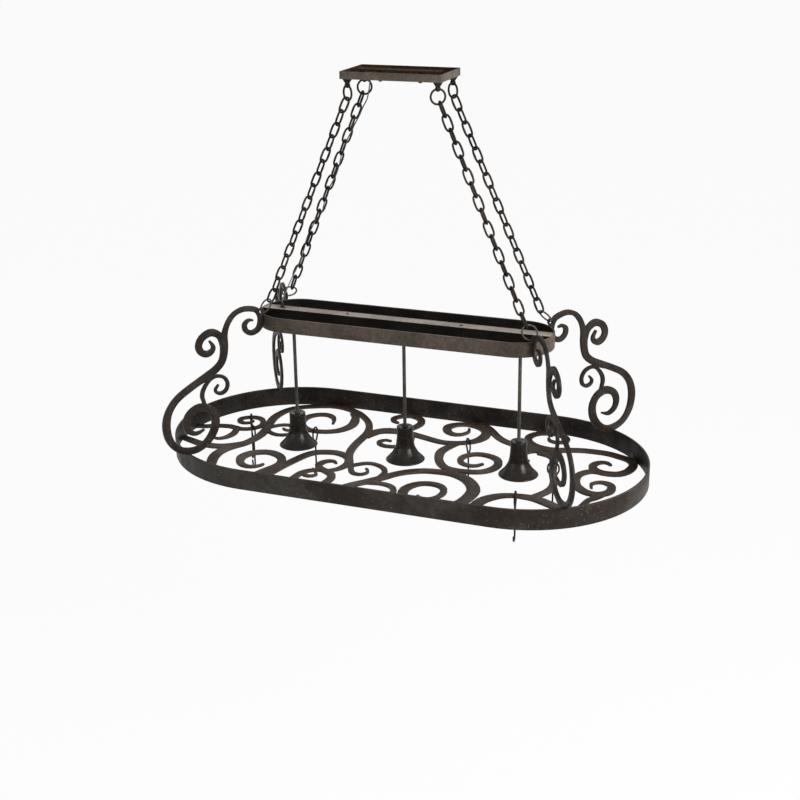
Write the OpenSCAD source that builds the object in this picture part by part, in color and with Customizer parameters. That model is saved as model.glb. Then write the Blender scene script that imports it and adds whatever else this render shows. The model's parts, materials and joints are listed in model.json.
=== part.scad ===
// Hanging pot rack with three downlights.
// An oval iron rim with a scroll-work shelf hangs from four chains below a small ceiling canopy.
// Millimetres, Z up. The origin is the centre of the face that meets the ceiling.
// X runs along the rack, Y across it.

/* [Canopy] */
// Length of the ceiling canopy
canopy_len = 240; // [220:1:300]
// Depth of the ceiling canopy
canopy_depth = 130; // [118:1:180]
// Height of the ceiling canopy
canopy_h = 17; // [15:0.5:25]
// Thickness of its sheet
canopy_sheet = 1.6; // [1:0.1:2.5]
// Length of the mounting bar inside it
bar_len = 196; // [184:1:205]
// Width of the mounting bar
bar_w = 26; // [20:1:34]
// Thickness of the mounting bar
bar_t = 3; // [2:0.5:5]
// Distance between the two ceiling screws
ceiling_screw_pitch = 160; // [140:1:166]
// Hole for a ceiling screw
ceiling_screw_hole = 6.5; // [5:0.5:8]
// Distance between the two studs that hold the canopy
stud_pitch = 96; // [70:1:110]
// Diameter of a canopy stud
stud_d = 6; // [5:0.5:8]
// Diameter of a cap nut
cap_nut_d = 12; // [11:0.5:15]
// Height of a cap nut
cap_nut_h = 12; // [10:0.5:15]

/* [Loop hangers] */
// Distance along the rack between the loop hangers
eye_pitch_x = 215; // [196:1:222]
// Distance across the rack between the loop hangers
eye_pitch_y = 100; // [84:1:104]
// Widest diameter of a hanger's cone
eye_cone_d = 24; // [18:1:26]
// Height of a hanger's cone
eye_cone_h = 11; // [8:0.5:14]
// Diameter of a hanger's threaded shank
eye_shank_d = 6; // [5:0.5:8]
// Diameter of the knob that ends a loop hanger
knob_d = 13; // [12:0.5:16]
// Radius of the hole in that knob
eye_in_r = 3.2; // [3:0.1:4]

/* [Chains] */
// Diameter of the wire of a link
link_wire = 5; // [4:0.1:5.4]
// Inner width of a link
link_in_w = 12.8; // [12:0.2:16]
// Wanted length of one link along the chain
link_pitch = 31; // [28:0.5:40]
// Wire diameter of the rings at the top of the chains
top_ring_wire = 4.8; // [4:0.1:5.2]
// Outer diameter of the ring at the top of a chain
top_ring_d = 38; // [34:1:46]
// Wire diameter of the rings at the foot of the chains
foot_ring_wire = 4; // [3.6:0.1:4.2]
// Outer diameter of the ring at the foot of a chain
foot_ring_d = 40; // [36:1:46]
// Lean of the foot ring from upright
foot_lean = 42; // [30:1:50]
// Direction of that lean from the long axis, seen from above
foot_lean_turn = 24; // [10:1:35]

/* [Light channel] */
// Distance from the end of the rim to the end of the channel
channel_inset = 231; // [210:1:250]
// Width of the light channel over its band
channel_w = 175; // [150:1:200]
// Height of the channel band
channel_h = 36; // [28:1:46]
// Thickness of the channel band
channel_t = 3.5; // [2.5:0.5:5]
// Distance from the ceiling down to the top of the channel band
channel_drop = 584; // [560:1:700]
// Width of the light bar
light_bar_w = 32; // [26:1:44]
// Height of the light bar
light_bar_h = 27; // [20:1:30]
// Thickness of the sheet of the light bar and its cover
light_sheet = 1.5; // [1:0.1:2]

/* [Lamps] */
// Distance from the end of the channel to the rod of an outer lamp
lamp_inset = 79; // [60:1:110]
// Diameter of a lamp's rod
rod_d = 8.5; // [7:0.5:11]
// Bore of a lamp's rod
rod_bore = 5.5; // [4:0.5:6]
// Distance from the ceiling down to the top of a bell
bell_drop = 856; // [845:1:856]
// Height of a bell
bell_h = 87; // [84:1:100]
// Radius of a bell at its shoulder
bell_shoulder_r = 20.3; // [19:0.1:22]
// Radius of a bell at its mouth
bell_mouth_r = 49; // [46:1:60]
// Thickness of a bell
bell_wall = 1.5; // [1:0.1:2]
// Diameter of the lock nut on top of a bell
bell_nut_d = 15; // [13:0.5:18]
// Diameter of a lamp socket
socket_d = 28; // [26.5:0.5:30]
// Length of a lamp socket
socket_h = 30; // [28:1:32]
// Diameter of a globe bulb
bulb_d = 40; // [36:1:41]

/* [Rim and shelf] */
// Length of the rack over its rim
rim_len = 1200; // [1150:1:1260]
// Width of the rack over its rim
rim_w = 588; // [560:1:620]
// Height of the rim band
rim_h = 50; // [40:1:65]
// Thickness of the rim band
rim_t = 4.5; // [3:0.5:6]
// Distance from the ceiling down to the top of the rim
rim_drop = 897.5; // [880:0.5:1050]
// Thickness of the scroll shelf
shelf_t = 5; // [4:0.5:7]
// Width of the splice plate across the joint of the rim band
splice_w = 45; // [30:1:70]
// Thickness of the splice plate
splice_t = 2; // [1:0.5:3]

/* [Arms] */
// Thickness of an arm
arm_t = 6; // [5:0.5:8]
// Direction of an arm from the long axis, seen from above
arm_turn = 55; // [50:0.5:62]
// Depth of the notch by which an arm straddles the rim
arm_notch = 1; // [0.5:0.25:3]
// Outer radius of the lug that the foot ring hooks
lug_r = 8.4; // [8.2:0.1:9]
// Radius of the hole in that lug
lug_hole_r = 4.8; // [4.6:0.1:5.2]
// Height of the lug's centre above the channel band
lug_rise = 8; // [7:0.5:12]
// Distance from the channel band to the lug's centre
lug_out = 5.5; // [4:0.5:8]

/* [Hooks] */
// Diameter of the hook wire
hook_wire = 4.5; // [3.5:0.5:6]
// Inner radius of a hook's loop over the shelf bar
hook_loop_r = 11.5; // [11:0.1:14]
// Whole height of a hook
hook_h = 125; // [110:1:150]
// Inner radius of the open end that a pan hangs on
hook_end_r = 8; // [7:0.5:14]

/* [Supply cord] */
// Diameter of the supply cord
cord_d = 3; // [2.6:0.1:3.2]

/* [Hidden] */
$fn = 48;

// Clearances
thread_gap = 0.1;
hole_gap = 0.3;
pivot_gap = 0.4;
link_gap = 0.2;
hook_gap = 0.2;

// Corners of the rack: left or right, front or back
FL = [-1, -1];
FR = [1, -1];
BL = [-1, 1];
BR = [1, 1];

// Length of the channel, distance between two lamps, and heights
channel_len = rim_len - 2 * channel_inset;
lamp_pitch = channel_len / 2 - lamp_inset;
channel_top = -channel_drop;
rim_top = -rim_drop;
rim_bottom = rim_top - rim_h;
shelf_top = rim_bottom + shelf_t;
canopy_floor = -canopy_h;
bell_top = -bell_drop;

// Seats of the arms: the foot on the middle of the rim band, the reach to the channel band
rim_mid_r = (rim_w - rim_t) / 2;
seat_turn = 57.3;
arm_foot = [(rim_len - rim_w) / 2 + rim_mid_r * cos(seat_turn), rim_mid_r * sin(seat_turn)];
function arm_angle(c) = atan2(c.y * sin(arm_turn), c.x * cos(arm_turn));
function arm_point(c, r, z) =
    [c.x * (arm_foot.x + r * cos(arm_turn)), c.y * (arm_foot.y + r * sin(arm_turn)), z];
// Distance from the foot to the channel band, in the arm's own plane
arm_reach =
    let (to = arm_foot - [(channel_len - channel_w) / 2, 0],
        along = to.x * cos(arm_turn) + to.y * sin(arm_turn))
    along - sqrt(pow(along, 2) - pow(norm(to), 2) + pow(channel_w / 2, 2));
lug_plan_r = -arm_reach + lug_out;
lug_z = channel_top + lug_rise;
function lug_at(c) = arm_point(c, lug_plan_r, lug_z);

// Ends of the supply cord, and the necks and lips of its grommet and gland
grommet_neck_d = 9;
grommet_lip_d = 13;
grommet_lip = 2;
cord_start = [-88, 36, canopy_floor - grommet_lip];
gland_in = 51;
gland_x = gland_in - channel_len / 2;
gland_h = 8;
gland_seat = 1;
gland_foot_d = 12;
gland_tip_d = 8;
gland_neck_d = 9;
gland_neck_h = 3;
cord_end = [gland_x, 0, channel_top + gland_h - gland_seat];

// Nuts: a hexagon across corners, and a height
nut_corner = 2;
nut_h = 5;

/* Canopy */

module canopy_shell() {
    color("#2b211d")
    difference() {
        translate([-canopy_len / 2, -canopy_depth / 2, canopy_floor])
            cube([canopy_len, canopy_depth, canopy_h]);
        translate([-canopy_len / 2 + canopy_sheet, -canopy_depth / 2 + canopy_sheet,
                canopy_floor + canopy_sheet])
            cube([canopy_len - 2 * canopy_sheet, canopy_depth - 2 * canopy_sheet, canopy_h]);
        for (s = [-1, 1])
            floor_hole([s * stud_pitch / 2, 0], stud_d + hole_gap);
        for (c = [FL, FR, BL, BR])
            floor_hole([c.x * eye_pitch_x / 2, c.y * eye_pitch_y / 2], eye_shank_d + hole_gap);
        floor_hole([cord_start.x, cord_start.y], grommet_neck_d);
    }
}

module floor_hole(at, d) {
    translate([at.x, at.y, canopy_floor - 1]) cylinder(d = d, h = canopy_sheet + 2);
}

module ceiling_bar() {
    color("#8a8a88")
    difference() {
        translate([-bar_len / 2, -bar_w / 2, -bar_t]) cube([bar_len, bar_w, bar_t]);
        for (s = [-1, 1]) {
            translate([s * ceiling_screw_pitch / 2, 0, -bar_t - 1])
                cylinder(d = ceiling_screw_hole, h = bar_t + 2);
            translate([s * stud_pitch / 2, 0, -bar_t - 1]) cylinder(d = stud_d, h = bar_t + 2);
        }
    }
}

// The studs are riveted into the mounting bar and pass through the canopy floor
stud_grip = 7;
stud_clear = 1.2;
stud_len = canopy_h + stud_grip;
module canopy_studs() {
    color("#9a9a98")
    for (s = [-1, 1])
        translate([s * stud_pitch / 2, 0, -stud_len]) cylinder(d = stud_d, h = stud_len);
}

module cap_nuts() {
    dome_r = cap_nut_d / 2;
    color("#1f1a18")
    for (s = [-1, 1])
        translate([s * stud_pitch / 2, 0, canopy_floor])
        difference() {
            union() {
                translate([0, 0, dome_r - cap_nut_h])
                    cylinder(r = dome_r, h = cap_nut_h - dome_r);
                translate([0, 0, dome_r - cap_nut_h]) sphere(r = dome_r);
            }
            translate([0, 0, -stud_grip - stud_clear])
                cylinder(d = stud_d + thread_gap, h = cap_nut_h);
            cylinder(r = dome_r + 1, h = dome_r + 1);
        }
}

/* Loop hangers: a threaded shank, a cone under the canopy and a knob with a hole for a ring */

eye_tip_d = 10;
// The knob is sunk into the tip of the cone
knob_sink = 2.6;
knob_z = canopy_floor - eye_cone_h + knob_sink - knob_d / 2;
// Height at which a top ring rests in its knob
eye_z = knob_z - eye_in_r;

module loop_hangers() {
    shank_top = canopy_floor + canopy_sheet + nut_h + 2;
    color("#1f1a18")
    for (c = [FL, FR, BL, BR])
        difference() {
            translate([c.x * eye_pitch_x / 2, c.y * eye_pitch_y / 2, 0]) {
                translate([0, 0, canopy_floor - eye_cone_h])
                    cylinder(d1 = eye_tip_d, d2 = eye_cone_d, h = eye_cone_h);
                translate([0, 0, canopy_floor - 1])
                    cylinder(d = eye_shank_d, h = shank_top - canopy_floor + 1);
                translate([0, 0, knob_z]) sphere(d = knob_d);
            }
            // The hole is bent like the ring that turns in it
            top_ring_place(c) ring(top_ring_in_r + eye_in_r - pivot_gap, 2 * eye_in_r);
        }
}

module hanger_nuts() {
    color("#6f6c68")
    for (c = [FL, FR, BL, BR])
        translate([c.x * eye_pitch_x / 2, c.y * eye_pitch_y / 2, canopy_floor + canopy_sheet])
            hex_nut(eye_shank_d);
}

module hex_nut(bore) {
    difference() {
        cylinder(d = bore * nut_corner, h = nut_h, $fn = 6);
        translate([0, 0, -1]) cylinder(d = bore + thread_gap, h = nut_h + 2);
    }
}

// A ring of round wire about Z
module ring(mid_r, wire) {
    rotate_extrude() translate([mid_r, 0]) circle(d = wire, $fn = 24);
}

/* Chains: a ring hangs from each loop hanger, a chain runs straight from it to a second
   ring, and that one hooks the lug of an arm */

function eye_at(c) = [c.x * eye_pitch_x / 2, c.y * eye_pitch_y / 2, eye_z];
function unit(v) = v / norm(v);
// Tilts that turn straight down into the direction v
function tilt_x(v) = asin(v.y / norm(v));
function tilt_y(v) = -atan2(v.x, -v.z);
// Turn about v that brings the plane of a link or ring to the level direction h
function roll_to(h, v) =
    let (a = tilt_x(v), b = tilt_y(v)) atan2(h.y * cos(a) + h.x * sin(b) * sin(a), h.x * cos(b));
// Level direction across an arm, in which the rings lie
function across(c) = [cos(arm_angle(c) + 90), sin(arm_angle(c) + 90), 0];

top_ring_in_r = top_ring_d / 2 - top_ring_wire;
foot_ring_in_r = foot_ring_d / 2 - foot_ring_wire;
// The foot ring's wire crosses its lug askew, so it sits below the top of the hole
lug_askew = 2.2;
foot_slack = lug_hole_r - foot_ring_wire / 2 - lug_askew;
function lean(c) =
    [c.x * sin(foot_lean) * cos(foot_lean_turn), c.y * sin(foot_lean) * sin(foot_lean_turn),
        -cos(foot_lean)];
// Points where ring and hanger, ring and chain, chain and ring, ring and lug meet
function top_ring_at(c) = eye_at(c) + [0, 0, pivot_gap - top_ring_in_r];
function w_at(c) = lug_at(c) - lean(c) * (foot_slack + foot_ring_wire / 2);
function foot_ring_at(c) = w_at(c) - lean(c) * foot_ring_in_r;
function v_at(c) = foot_ring_at(c) - lean(c) * (foot_ring_in_r - pivot_gap);
function u_at(c) =
    let (o = top_ring_at(c), d = v_at(c) - o, h = across(c), level = d.x * h.x + d.y * h.y)
    o + unit([h.x * level, h.y * level, d.z]) * (top_ring_in_r - pivot_gap);
function run_of(c) = v_at(c) - u_at(c);

// An odd count, so that the first and the last link both lie across the rings they hook
link_count = 2 * round((norm(run_of(FL)) / link_pitch - 1) / 2) + 1;
function link_in_len(c) = (norm(run_of(c)) + (link_count - 1) * link_gap) / link_count;
function link_s(c, i) = i * (link_in_len(c) - link_gap);

// Places children at a point, hanging along v, turned to h
module hung(at, v, h) {
    translate(at) rotate([tilt_x(v), tilt_y(v), 0]) rotate([0, 0, roll_to(h, v)]) children();
}

module top_ring_place(c) {
    hung(top_ring_at(c), [0, 0, -1], across(c)) rotate([90, 0, 0]) children();
}

module top_ring(c) {
    color("#3a3531")
    top_ring_place(c) ring(top_ring_in_r + top_ring_wire / 2, top_ring_wire);
}

module foot_ring(c) {
    color("#5b5650")
    hung(foot_ring_at(c), lean(c), across(c))
        rotate([90, 0, 0]) ring(foot_ring_in_r + foot_ring_wire / 2, foot_ring_wire);
}

module link(in_len) {
    mid_r = (link_in_w + link_wire) / 2;
    straight = in_len + link_wire - 2 * mid_r;
    for (s = [0, 1])
        translate([0, 0, -in_len / 2]) rotate([0, 180 * s, 0]) {
            translate([0, 0, straight / 2]) rotate([90, 0, 0])
                rotate_extrude(angle = 180) translate([mid_r, 0]) circle(d = link_wire, $fn = 24);
            translate([mid_r, 0, -straight / 2]) cylinder(d = link_wire, h = straight, $fn = 24);
        }
}

// Every other link lies across its neighbours
module chain(c) {
    color("#26211e")
    hung(u_at(c), run_of(c), across(c))
        for (i = [0 : link_count - 1])
            translate([0, 0, -link_s(c, i)]) rotate([0, 0, 90 * (i + 1)]) link(link_in_len(c));
}

/* Supply cord: it leaves the canopy by a grommet, weaves down the back left chain
   and ends in a gland on the light bar */

cord_gap = 0.4;
cord_side = link_in_w / 2 - cord_d / 2 - cord_gap;
// It swings this far to the front and back of the chain, and less where it changes sides
cord_wave = 8;
swap_wave = 4.2;
// Links between which the cord is woven, and the one at which it changes sides
weave_first = 2;
weave_last = 13;
weave_swap = 10;

// Point beside a chain: s down from its top, w and n across it
function beside(c, s, w, n) =
    let (v = run_of(c), a = tilt_x(v), b = tilt_y(v), r = roll_to(across(c), v),
        x = w * cos(r) - n * sin(r), y = w * sin(r) + n * cos(r),
        y1 = y * cos(a) + s * sin(a), z1 = y * sin(a) - s * cos(a))
    u_at(c) + [x * cos(b) + z1 * sin(b), y1, z1 * cos(b) - x * sin(b)];
// Point of the weave, i links from the top: it passes the links of odd number
function weave(i) =
    let (off = i - weave_swap, near = max(0, 1 - abs(off)),
        w = cord_side * (abs(off) < 0.5 ? sin(180 * off) : sign(off)),
        n = (cord_wave - near * (cord_wave - swap_wave)) * sin(90 * (i + 1)))
    beside(BL, link_s(BL, i) + link_in_len(BL) / 2, w, -n);
// Above the weave it runs down the right of the chain, below it bends to the gland
cord_head = [[-88, 36, -34], beside(BL, 6, -11.5, 9), beside(BL, 30, -10.5, 5),
    beside(BL, 52, -9.5, 4.8), beside(BL, 65, -7, 6.6)];
cord_tail = [beside(BL, 447, 6.5, 9), beside(BL, 478, 9, 8), cord_end + [7, 28, 46],
    cord_end + [2, 11, 23], cord_end + [0, 1, 9]];
cord_steps = 2;
cord_route = smooth(concat([cord_start], cord_head,
    [for (i = [weave_first : 0.5 : weave_last]) weave(i)], cord_tail, [cord_end]), cord_steps);

cord_sides = 8;
function cord_dir(i) =
    i == 0 || i == len(cord_route) - 1 ? [0, 0, -1] : unit(cord_route[i + 1] - cord_route[i - 1]);
cord_rings = [for (i = [0 : len(cord_route) - 1])
    let (d = cord_dir(i), u = unit(cross(d, [0, 1, 0.2])), v = cross(d, u))
    for (k = [0 : cord_sides - 1])
        let (a = 360 * k / cord_sides) cord_route[i] + cord_d / 2 * (u * cos(a) + v * sin(a))];

module supply_cord() {
    n = cord_sides;
    last = (len(cord_route) - 1) * n;
    color("#3d3a34")
    polyhedron(cord_rings, concat(
        [[for (k = [0 : n - 1]) k]],
        [for (i = [0 : len(cord_route) - 2]) for (k = [0 : n - 1]) for (half = [0, 1])
            let (a = i * n + k, b = i * n + (k + 1) % n)
            half == 0 ? [a, a + n, b] : [b, a + n, b + n]],
        [[for (k = [n - 1 : -1 : 0]) last + k]]));
}

module cord_grommet() {
    lip = grommet_lip;
    color("#141414")
    translate([cord_start.x, cord_start.y, canopy_floor])
    difference() {
        union() {
            translate([0, 0, -lip]) cylinder(d = grommet_lip_d, h = lip);
            cylinder(d = grommet_neck_d - thread_gap, h = canopy_sheet);
            translate([0, 0, canopy_sheet]) cylinder(d = grommet_lip_d, h = lip);
        }
        translate([0, 0, -lip - 1]) cylinder(d = cord_d, h = canopy_sheet + 2 * lip + 2);
    }
}

module cord_gland() {
    color("#141414")
    translate([gland_x, 0, channel_top])
    difference() {
        union() {
            cylinder(d1 = gland_foot_d, d2 = gland_tip_d, h = gland_h);
            translate([0, 0, -light_sheet - gland_neck_h])
                cylinder(d = gland_neck_d - thread_gap, h = light_sheet + gland_neck_h + 1);
        }
        translate([0, 0, gland_h - gland_seat]) cylinder(d = cord_d + 2 * cord_gap, h = gland_seat + 1);
        translate([0, 0, -light_sheet - gland_neck_h - 1])
            cylinder(d = cord_d - 2 * cord_gap, h = gland_h + light_sheet + gland_neck_h + 1);
    }
}

/* Light channel */

// Outline of a bar with round ends
module stadium(len, w) {
    r = w / 2;
    square([len - w, w], center = true);
    for (s = [-1, 1]) translate([s * (len / 2 - r), 0]) circle(r = r, $fn = 96);
}

// Upright band round such an outline
module band(len, w, t, h) {
    difference() {
        linear_extrude(h) stadium(len, w);
        translate([0, 0, -1]) linear_extrude(h + 2) stadium(len - 2 * t, w - 2 * t);
    }
}

module channel_band() {
    color("#332b28")
    translate([0, 0, channel_top - channel_h]) band(channel_len, channel_w, channel_t, channel_h);
}

light_bar_len = channel_len - 2 * channel_t;
cover_w = light_bar_w - 2 * light_sheet - hole_gap;
cover_top = channel_top - light_bar_h + light_sheet;
cover_screw_x = lamp_pitch / 2;
cover_screw_d = 4;

// Inverted channel section, welded between the ends of the band
module light_bar() {
    color("#8d857a")
    difference() {
        translate([-light_bar_len / 2, -light_bar_w / 2, channel_top - light_bar_h])
            cube([light_bar_len, light_bar_w, light_bar_h]);
        translate([-light_bar_len / 2 - 1, -light_bar_w / 2 + light_sheet,
                channel_top - light_bar_h - 1])
            cube([light_bar_len + 2, light_bar_w - 2 * light_sheet, light_bar_h + 1 - light_sheet]);
        difference() {
            translate([-light_bar_len / 2 - 1, -light_bar_w, channel_top - light_bar_h - 1])
                cube([light_bar_len + 2, 2 * light_bar_w, light_bar_h + 2]);
            translate([0, 0, channel_top - light_bar_h - 2]) linear_extrude(light_bar_h + 4)
                stadium(light_bar_len, channel_w - 2 * channel_t);
        }
        translate([gland_x, 0, channel_top - light_sheet - 1])
            cylinder(d = gland_neck_d, h = light_sheet + 2);
        for (s = [-1, 1])
            translate([s * cover_screw_x, 0, channel_top - light_sheet - 1])
                cylinder(d = cover_screw_d + hole_gap, h = light_sheet + 2);
    }
}

// Flat cover that closes the light bar from below
module wire_cover() {
    end_gap = 6;
    color("#8d857a")
    difference() {
        translate([-light_bar_len / 2 + end_gap, -cover_w / 2, cover_top - light_sheet])
            cube([light_bar_len - 2 * end_gap, cover_w, light_sheet]);
        for (i = [-1 : 1])
            translate([i * lamp_pitch, 0, cover_top - light_sheet - 1])
                cylinder(d = rod_d + hole_gap, h = light_sheet + 2);
        for (s = [-1, 1])
            translate([s * cover_screw_x, 0, cover_top - light_sheet - 1])
                cylinder(d = cover_screw_d + thread_gap, h = light_sheet + 2);
    }
}

// Screws down through the light bar into its cover
module cover_screws() {
    head_h = 1.5;
    color("#4a453f")
    for (s = [-1, 1])
        translate([s * cover_screw_x, 0, 0]) {
            translate([0, 0, channel_top]) cylinder(d = 2 * cover_screw_d, h = head_h);
            translate([0, 0, cover_top - light_sheet - 1])
                cylinder(d = cover_screw_d, h = channel_top + head_h - cover_top + light_sheet + 1);
        }
}

/* Lamps */

rod_flange_d = 14;
rod_flange_t = 2;
rod_top = cover_top + nut_h + 2;
rod_foot = bell_top - bell_wall - 6;

module lamp_rod(i) {
    color("#2a2522")
    translate([i * lamp_pitch, 0, 0])
    difference() {
        union() {
            translate([0, 0, rod_foot]) cylinder(d = rod_d, h = rod_top - rod_foot);
            translate([0, 0, cover_top - light_sheet - rod_flange_t])
                cylinder(d = rod_flange_d, h = rod_flange_t);
        }
        translate([0, 0, rod_foot - 1]) cylinder(d = rod_bore, h = rod_top - rod_foot + 2);
    }
}

module rod_nuts() {
    color("#6f6c68")
    for (i = [-1 : 1])
        translate([i * lamp_pitch, 0, cover_top]) hex_nut(rod_d);
}

// Depth and radius down the outside of a bell
bell_curve = [[0, bell_shoulder_r], [25, bell_shoulder_r], [36, 21.3], [48, 22.9], [56, 25.2],
    [66, 30.5], [75, 37], [bell_h, bell_mouth_r]];

module lamp_bell(i) {
    c = smooth([for (p = bell_curve) [p.x, p.y, 0]], 2);
    color("#191514")
    translate([i * lamp_pitch, 0, bell_top])
    difference() {
        rotate_extrude($fn = 64) polygon(concat([[0, 0]], [for (p = c) [p.y, -p.x]],
            [for (k = [len(c) - 1 : -1 : 0]) if (c[k].x > bell_wall) [c[k].y - bell_wall, -c[k].x]],
            [[bell_shoulder_r - bell_wall, -bell_wall], [0, -bell_wall]]));
        translate([0, 0, -bell_wall - 1]) cylinder(d = rod_d + hole_gap, h = bell_wall + 2);
    }
}

module bell_nuts() {
    color("#2a2522")
    for (i = [-1 : 1])
        translate([i * lamp_pitch, 0, bell_top])
        difference() {
            cylinder(d = bell_nut_d, h = nut_h, $fn = 6);
            translate([0, 0, -1]) cylinder(d = rod_d + thread_gap, h = nut_h + 2);
        }
}

socket_top = bell_top - bell_wall;
socket_bottom = socket_top - socket_h;
socket_cap = 8;
bulb_base_d = socket_d - 4;
bulb_base_h = socket_h - socket_cap - 2;

module lamp_socket(i) {
    color("#1d1d1d")
    translate([i * lamp_pitch, 0, 0])
    difference() {
        translate([0, 0, socket_bottom]) cylinder(d = socket_d, h = socket_h);
        translate([0, 0, socket_bottom - 1])
            cylinder(d = bulb_base_d + thread_gap, h = socket_h - socket_cap + 1);
        translate([0, 0, socket_bottom]) cylinder(d = rod_d + thread_gap, h = socket_h + 1);
    }
}

module bulb(i) {
    neck = 2;
    globe_z = socket_bottom - neck - sqrt(pow(bulb_d / 2, 2) - pow(bulb_base_d / 2 - 1, 2));
    color("#efe9d8")
    translate([i * lamp_pitch, 0, 0]) {
        translate([0, 0, socket_bottom]) cylinder(d = bulb_base_d, h = bulb_base_h);
        translate([0, 0, globe_z]) cylinder(d = bulb_base_d - 2, h = socket_bottom - globe_z + 1);
        translate([0, 0, globe_z]) sphere(d = bulb_d);
    }
}

/* Rim band */

module rim_band() {
    color("#2e2623")
    translate([0, 0, rim_bottom]) band(rim_len, rim_w, rim_t, rim_h);
}

// Plate riveted over the joint of the band, on its inner face at the back left
splice_at = 136.5;
module rim_splice() {
    r = rim_w / 2 - rim_t;
    half = splice_w / 2 / r * 180 / PI;
    color("#1b1716")
    translate([-(rim_len - rim_w) / 2, 0, shelf_top])
        rotate([0, 0, splice_at - half]) rotate_extrude(angle = 2 * half, $fn = 96)
            translate([r - splice_t, 0]) square([splice_t, rim_h - shelf_t]);
}

/* Scroll work: every bar is a list of knots [x, y, width], joined by a smooth curve */

function spline(k, i, t) =
    let (p0 = k[max(i - 1, 0)], p1 = k[i], p2 = k[min(i + 1, len(k) - 1)],
        p3 = k[min(i + 2, len(k) - 1)])
    0.5 * (2 * p1 + (p2 - p0) * t + (2 * p0 - 5 * p1 + 4 * p2 - p3) * t * t
        + (3 * p1 - p0 - 3 * p2 + p3) * t * t * t);
function smooth(k, n) =
    [for (i = [0 : len(k) - 2]) for (j = [0 : n - 1]) spline(k, i, j / n), k[len(k) - 1]];
function heading(p, i) =
    let (a = p[max(i - 1, 0)], b = p[min(i + 1, len(p) - 1)]) atan2(b.y - a.y, b.x - a.x);
function edge(p, side) =
    [for (i = [0 : len(p) - 1]) let (h = heading(p, i), w = side * p[i].z / 2)
        [p[i].x - w * sin(h), p[i].y + w * cos(h)]];

module bar(knots, steps) {
    p = smooth(knots, steps);
    far = edge(p, -1);
    polygon(concat(edge(p, 1), [for (i = [len(far) - 1 : -1 : 0]) far[i]]));
}

// One outline of all the bars given
module joined() {
    weld = 0.05;
    offset(delta = -weld) offset(delta = weld) children();
}

/* Shelf: the knots are drawn for an opening of shelf_drawn, and follow the rim */

shelf_drawn = [1191, 579];
shelf_fit = [(rim_len - 2 * rim_t) / shelf_drawn.x, (rim_w - 2 * rim_t) / shelf_drawn.y];
shelf_grow = max(shelf_fit);
function fitted(knots) =
    [for (k = knots) [k.x * shelf_fit.x, k.y * shelf_fit.y, k.z * shelf_grow]];

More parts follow.
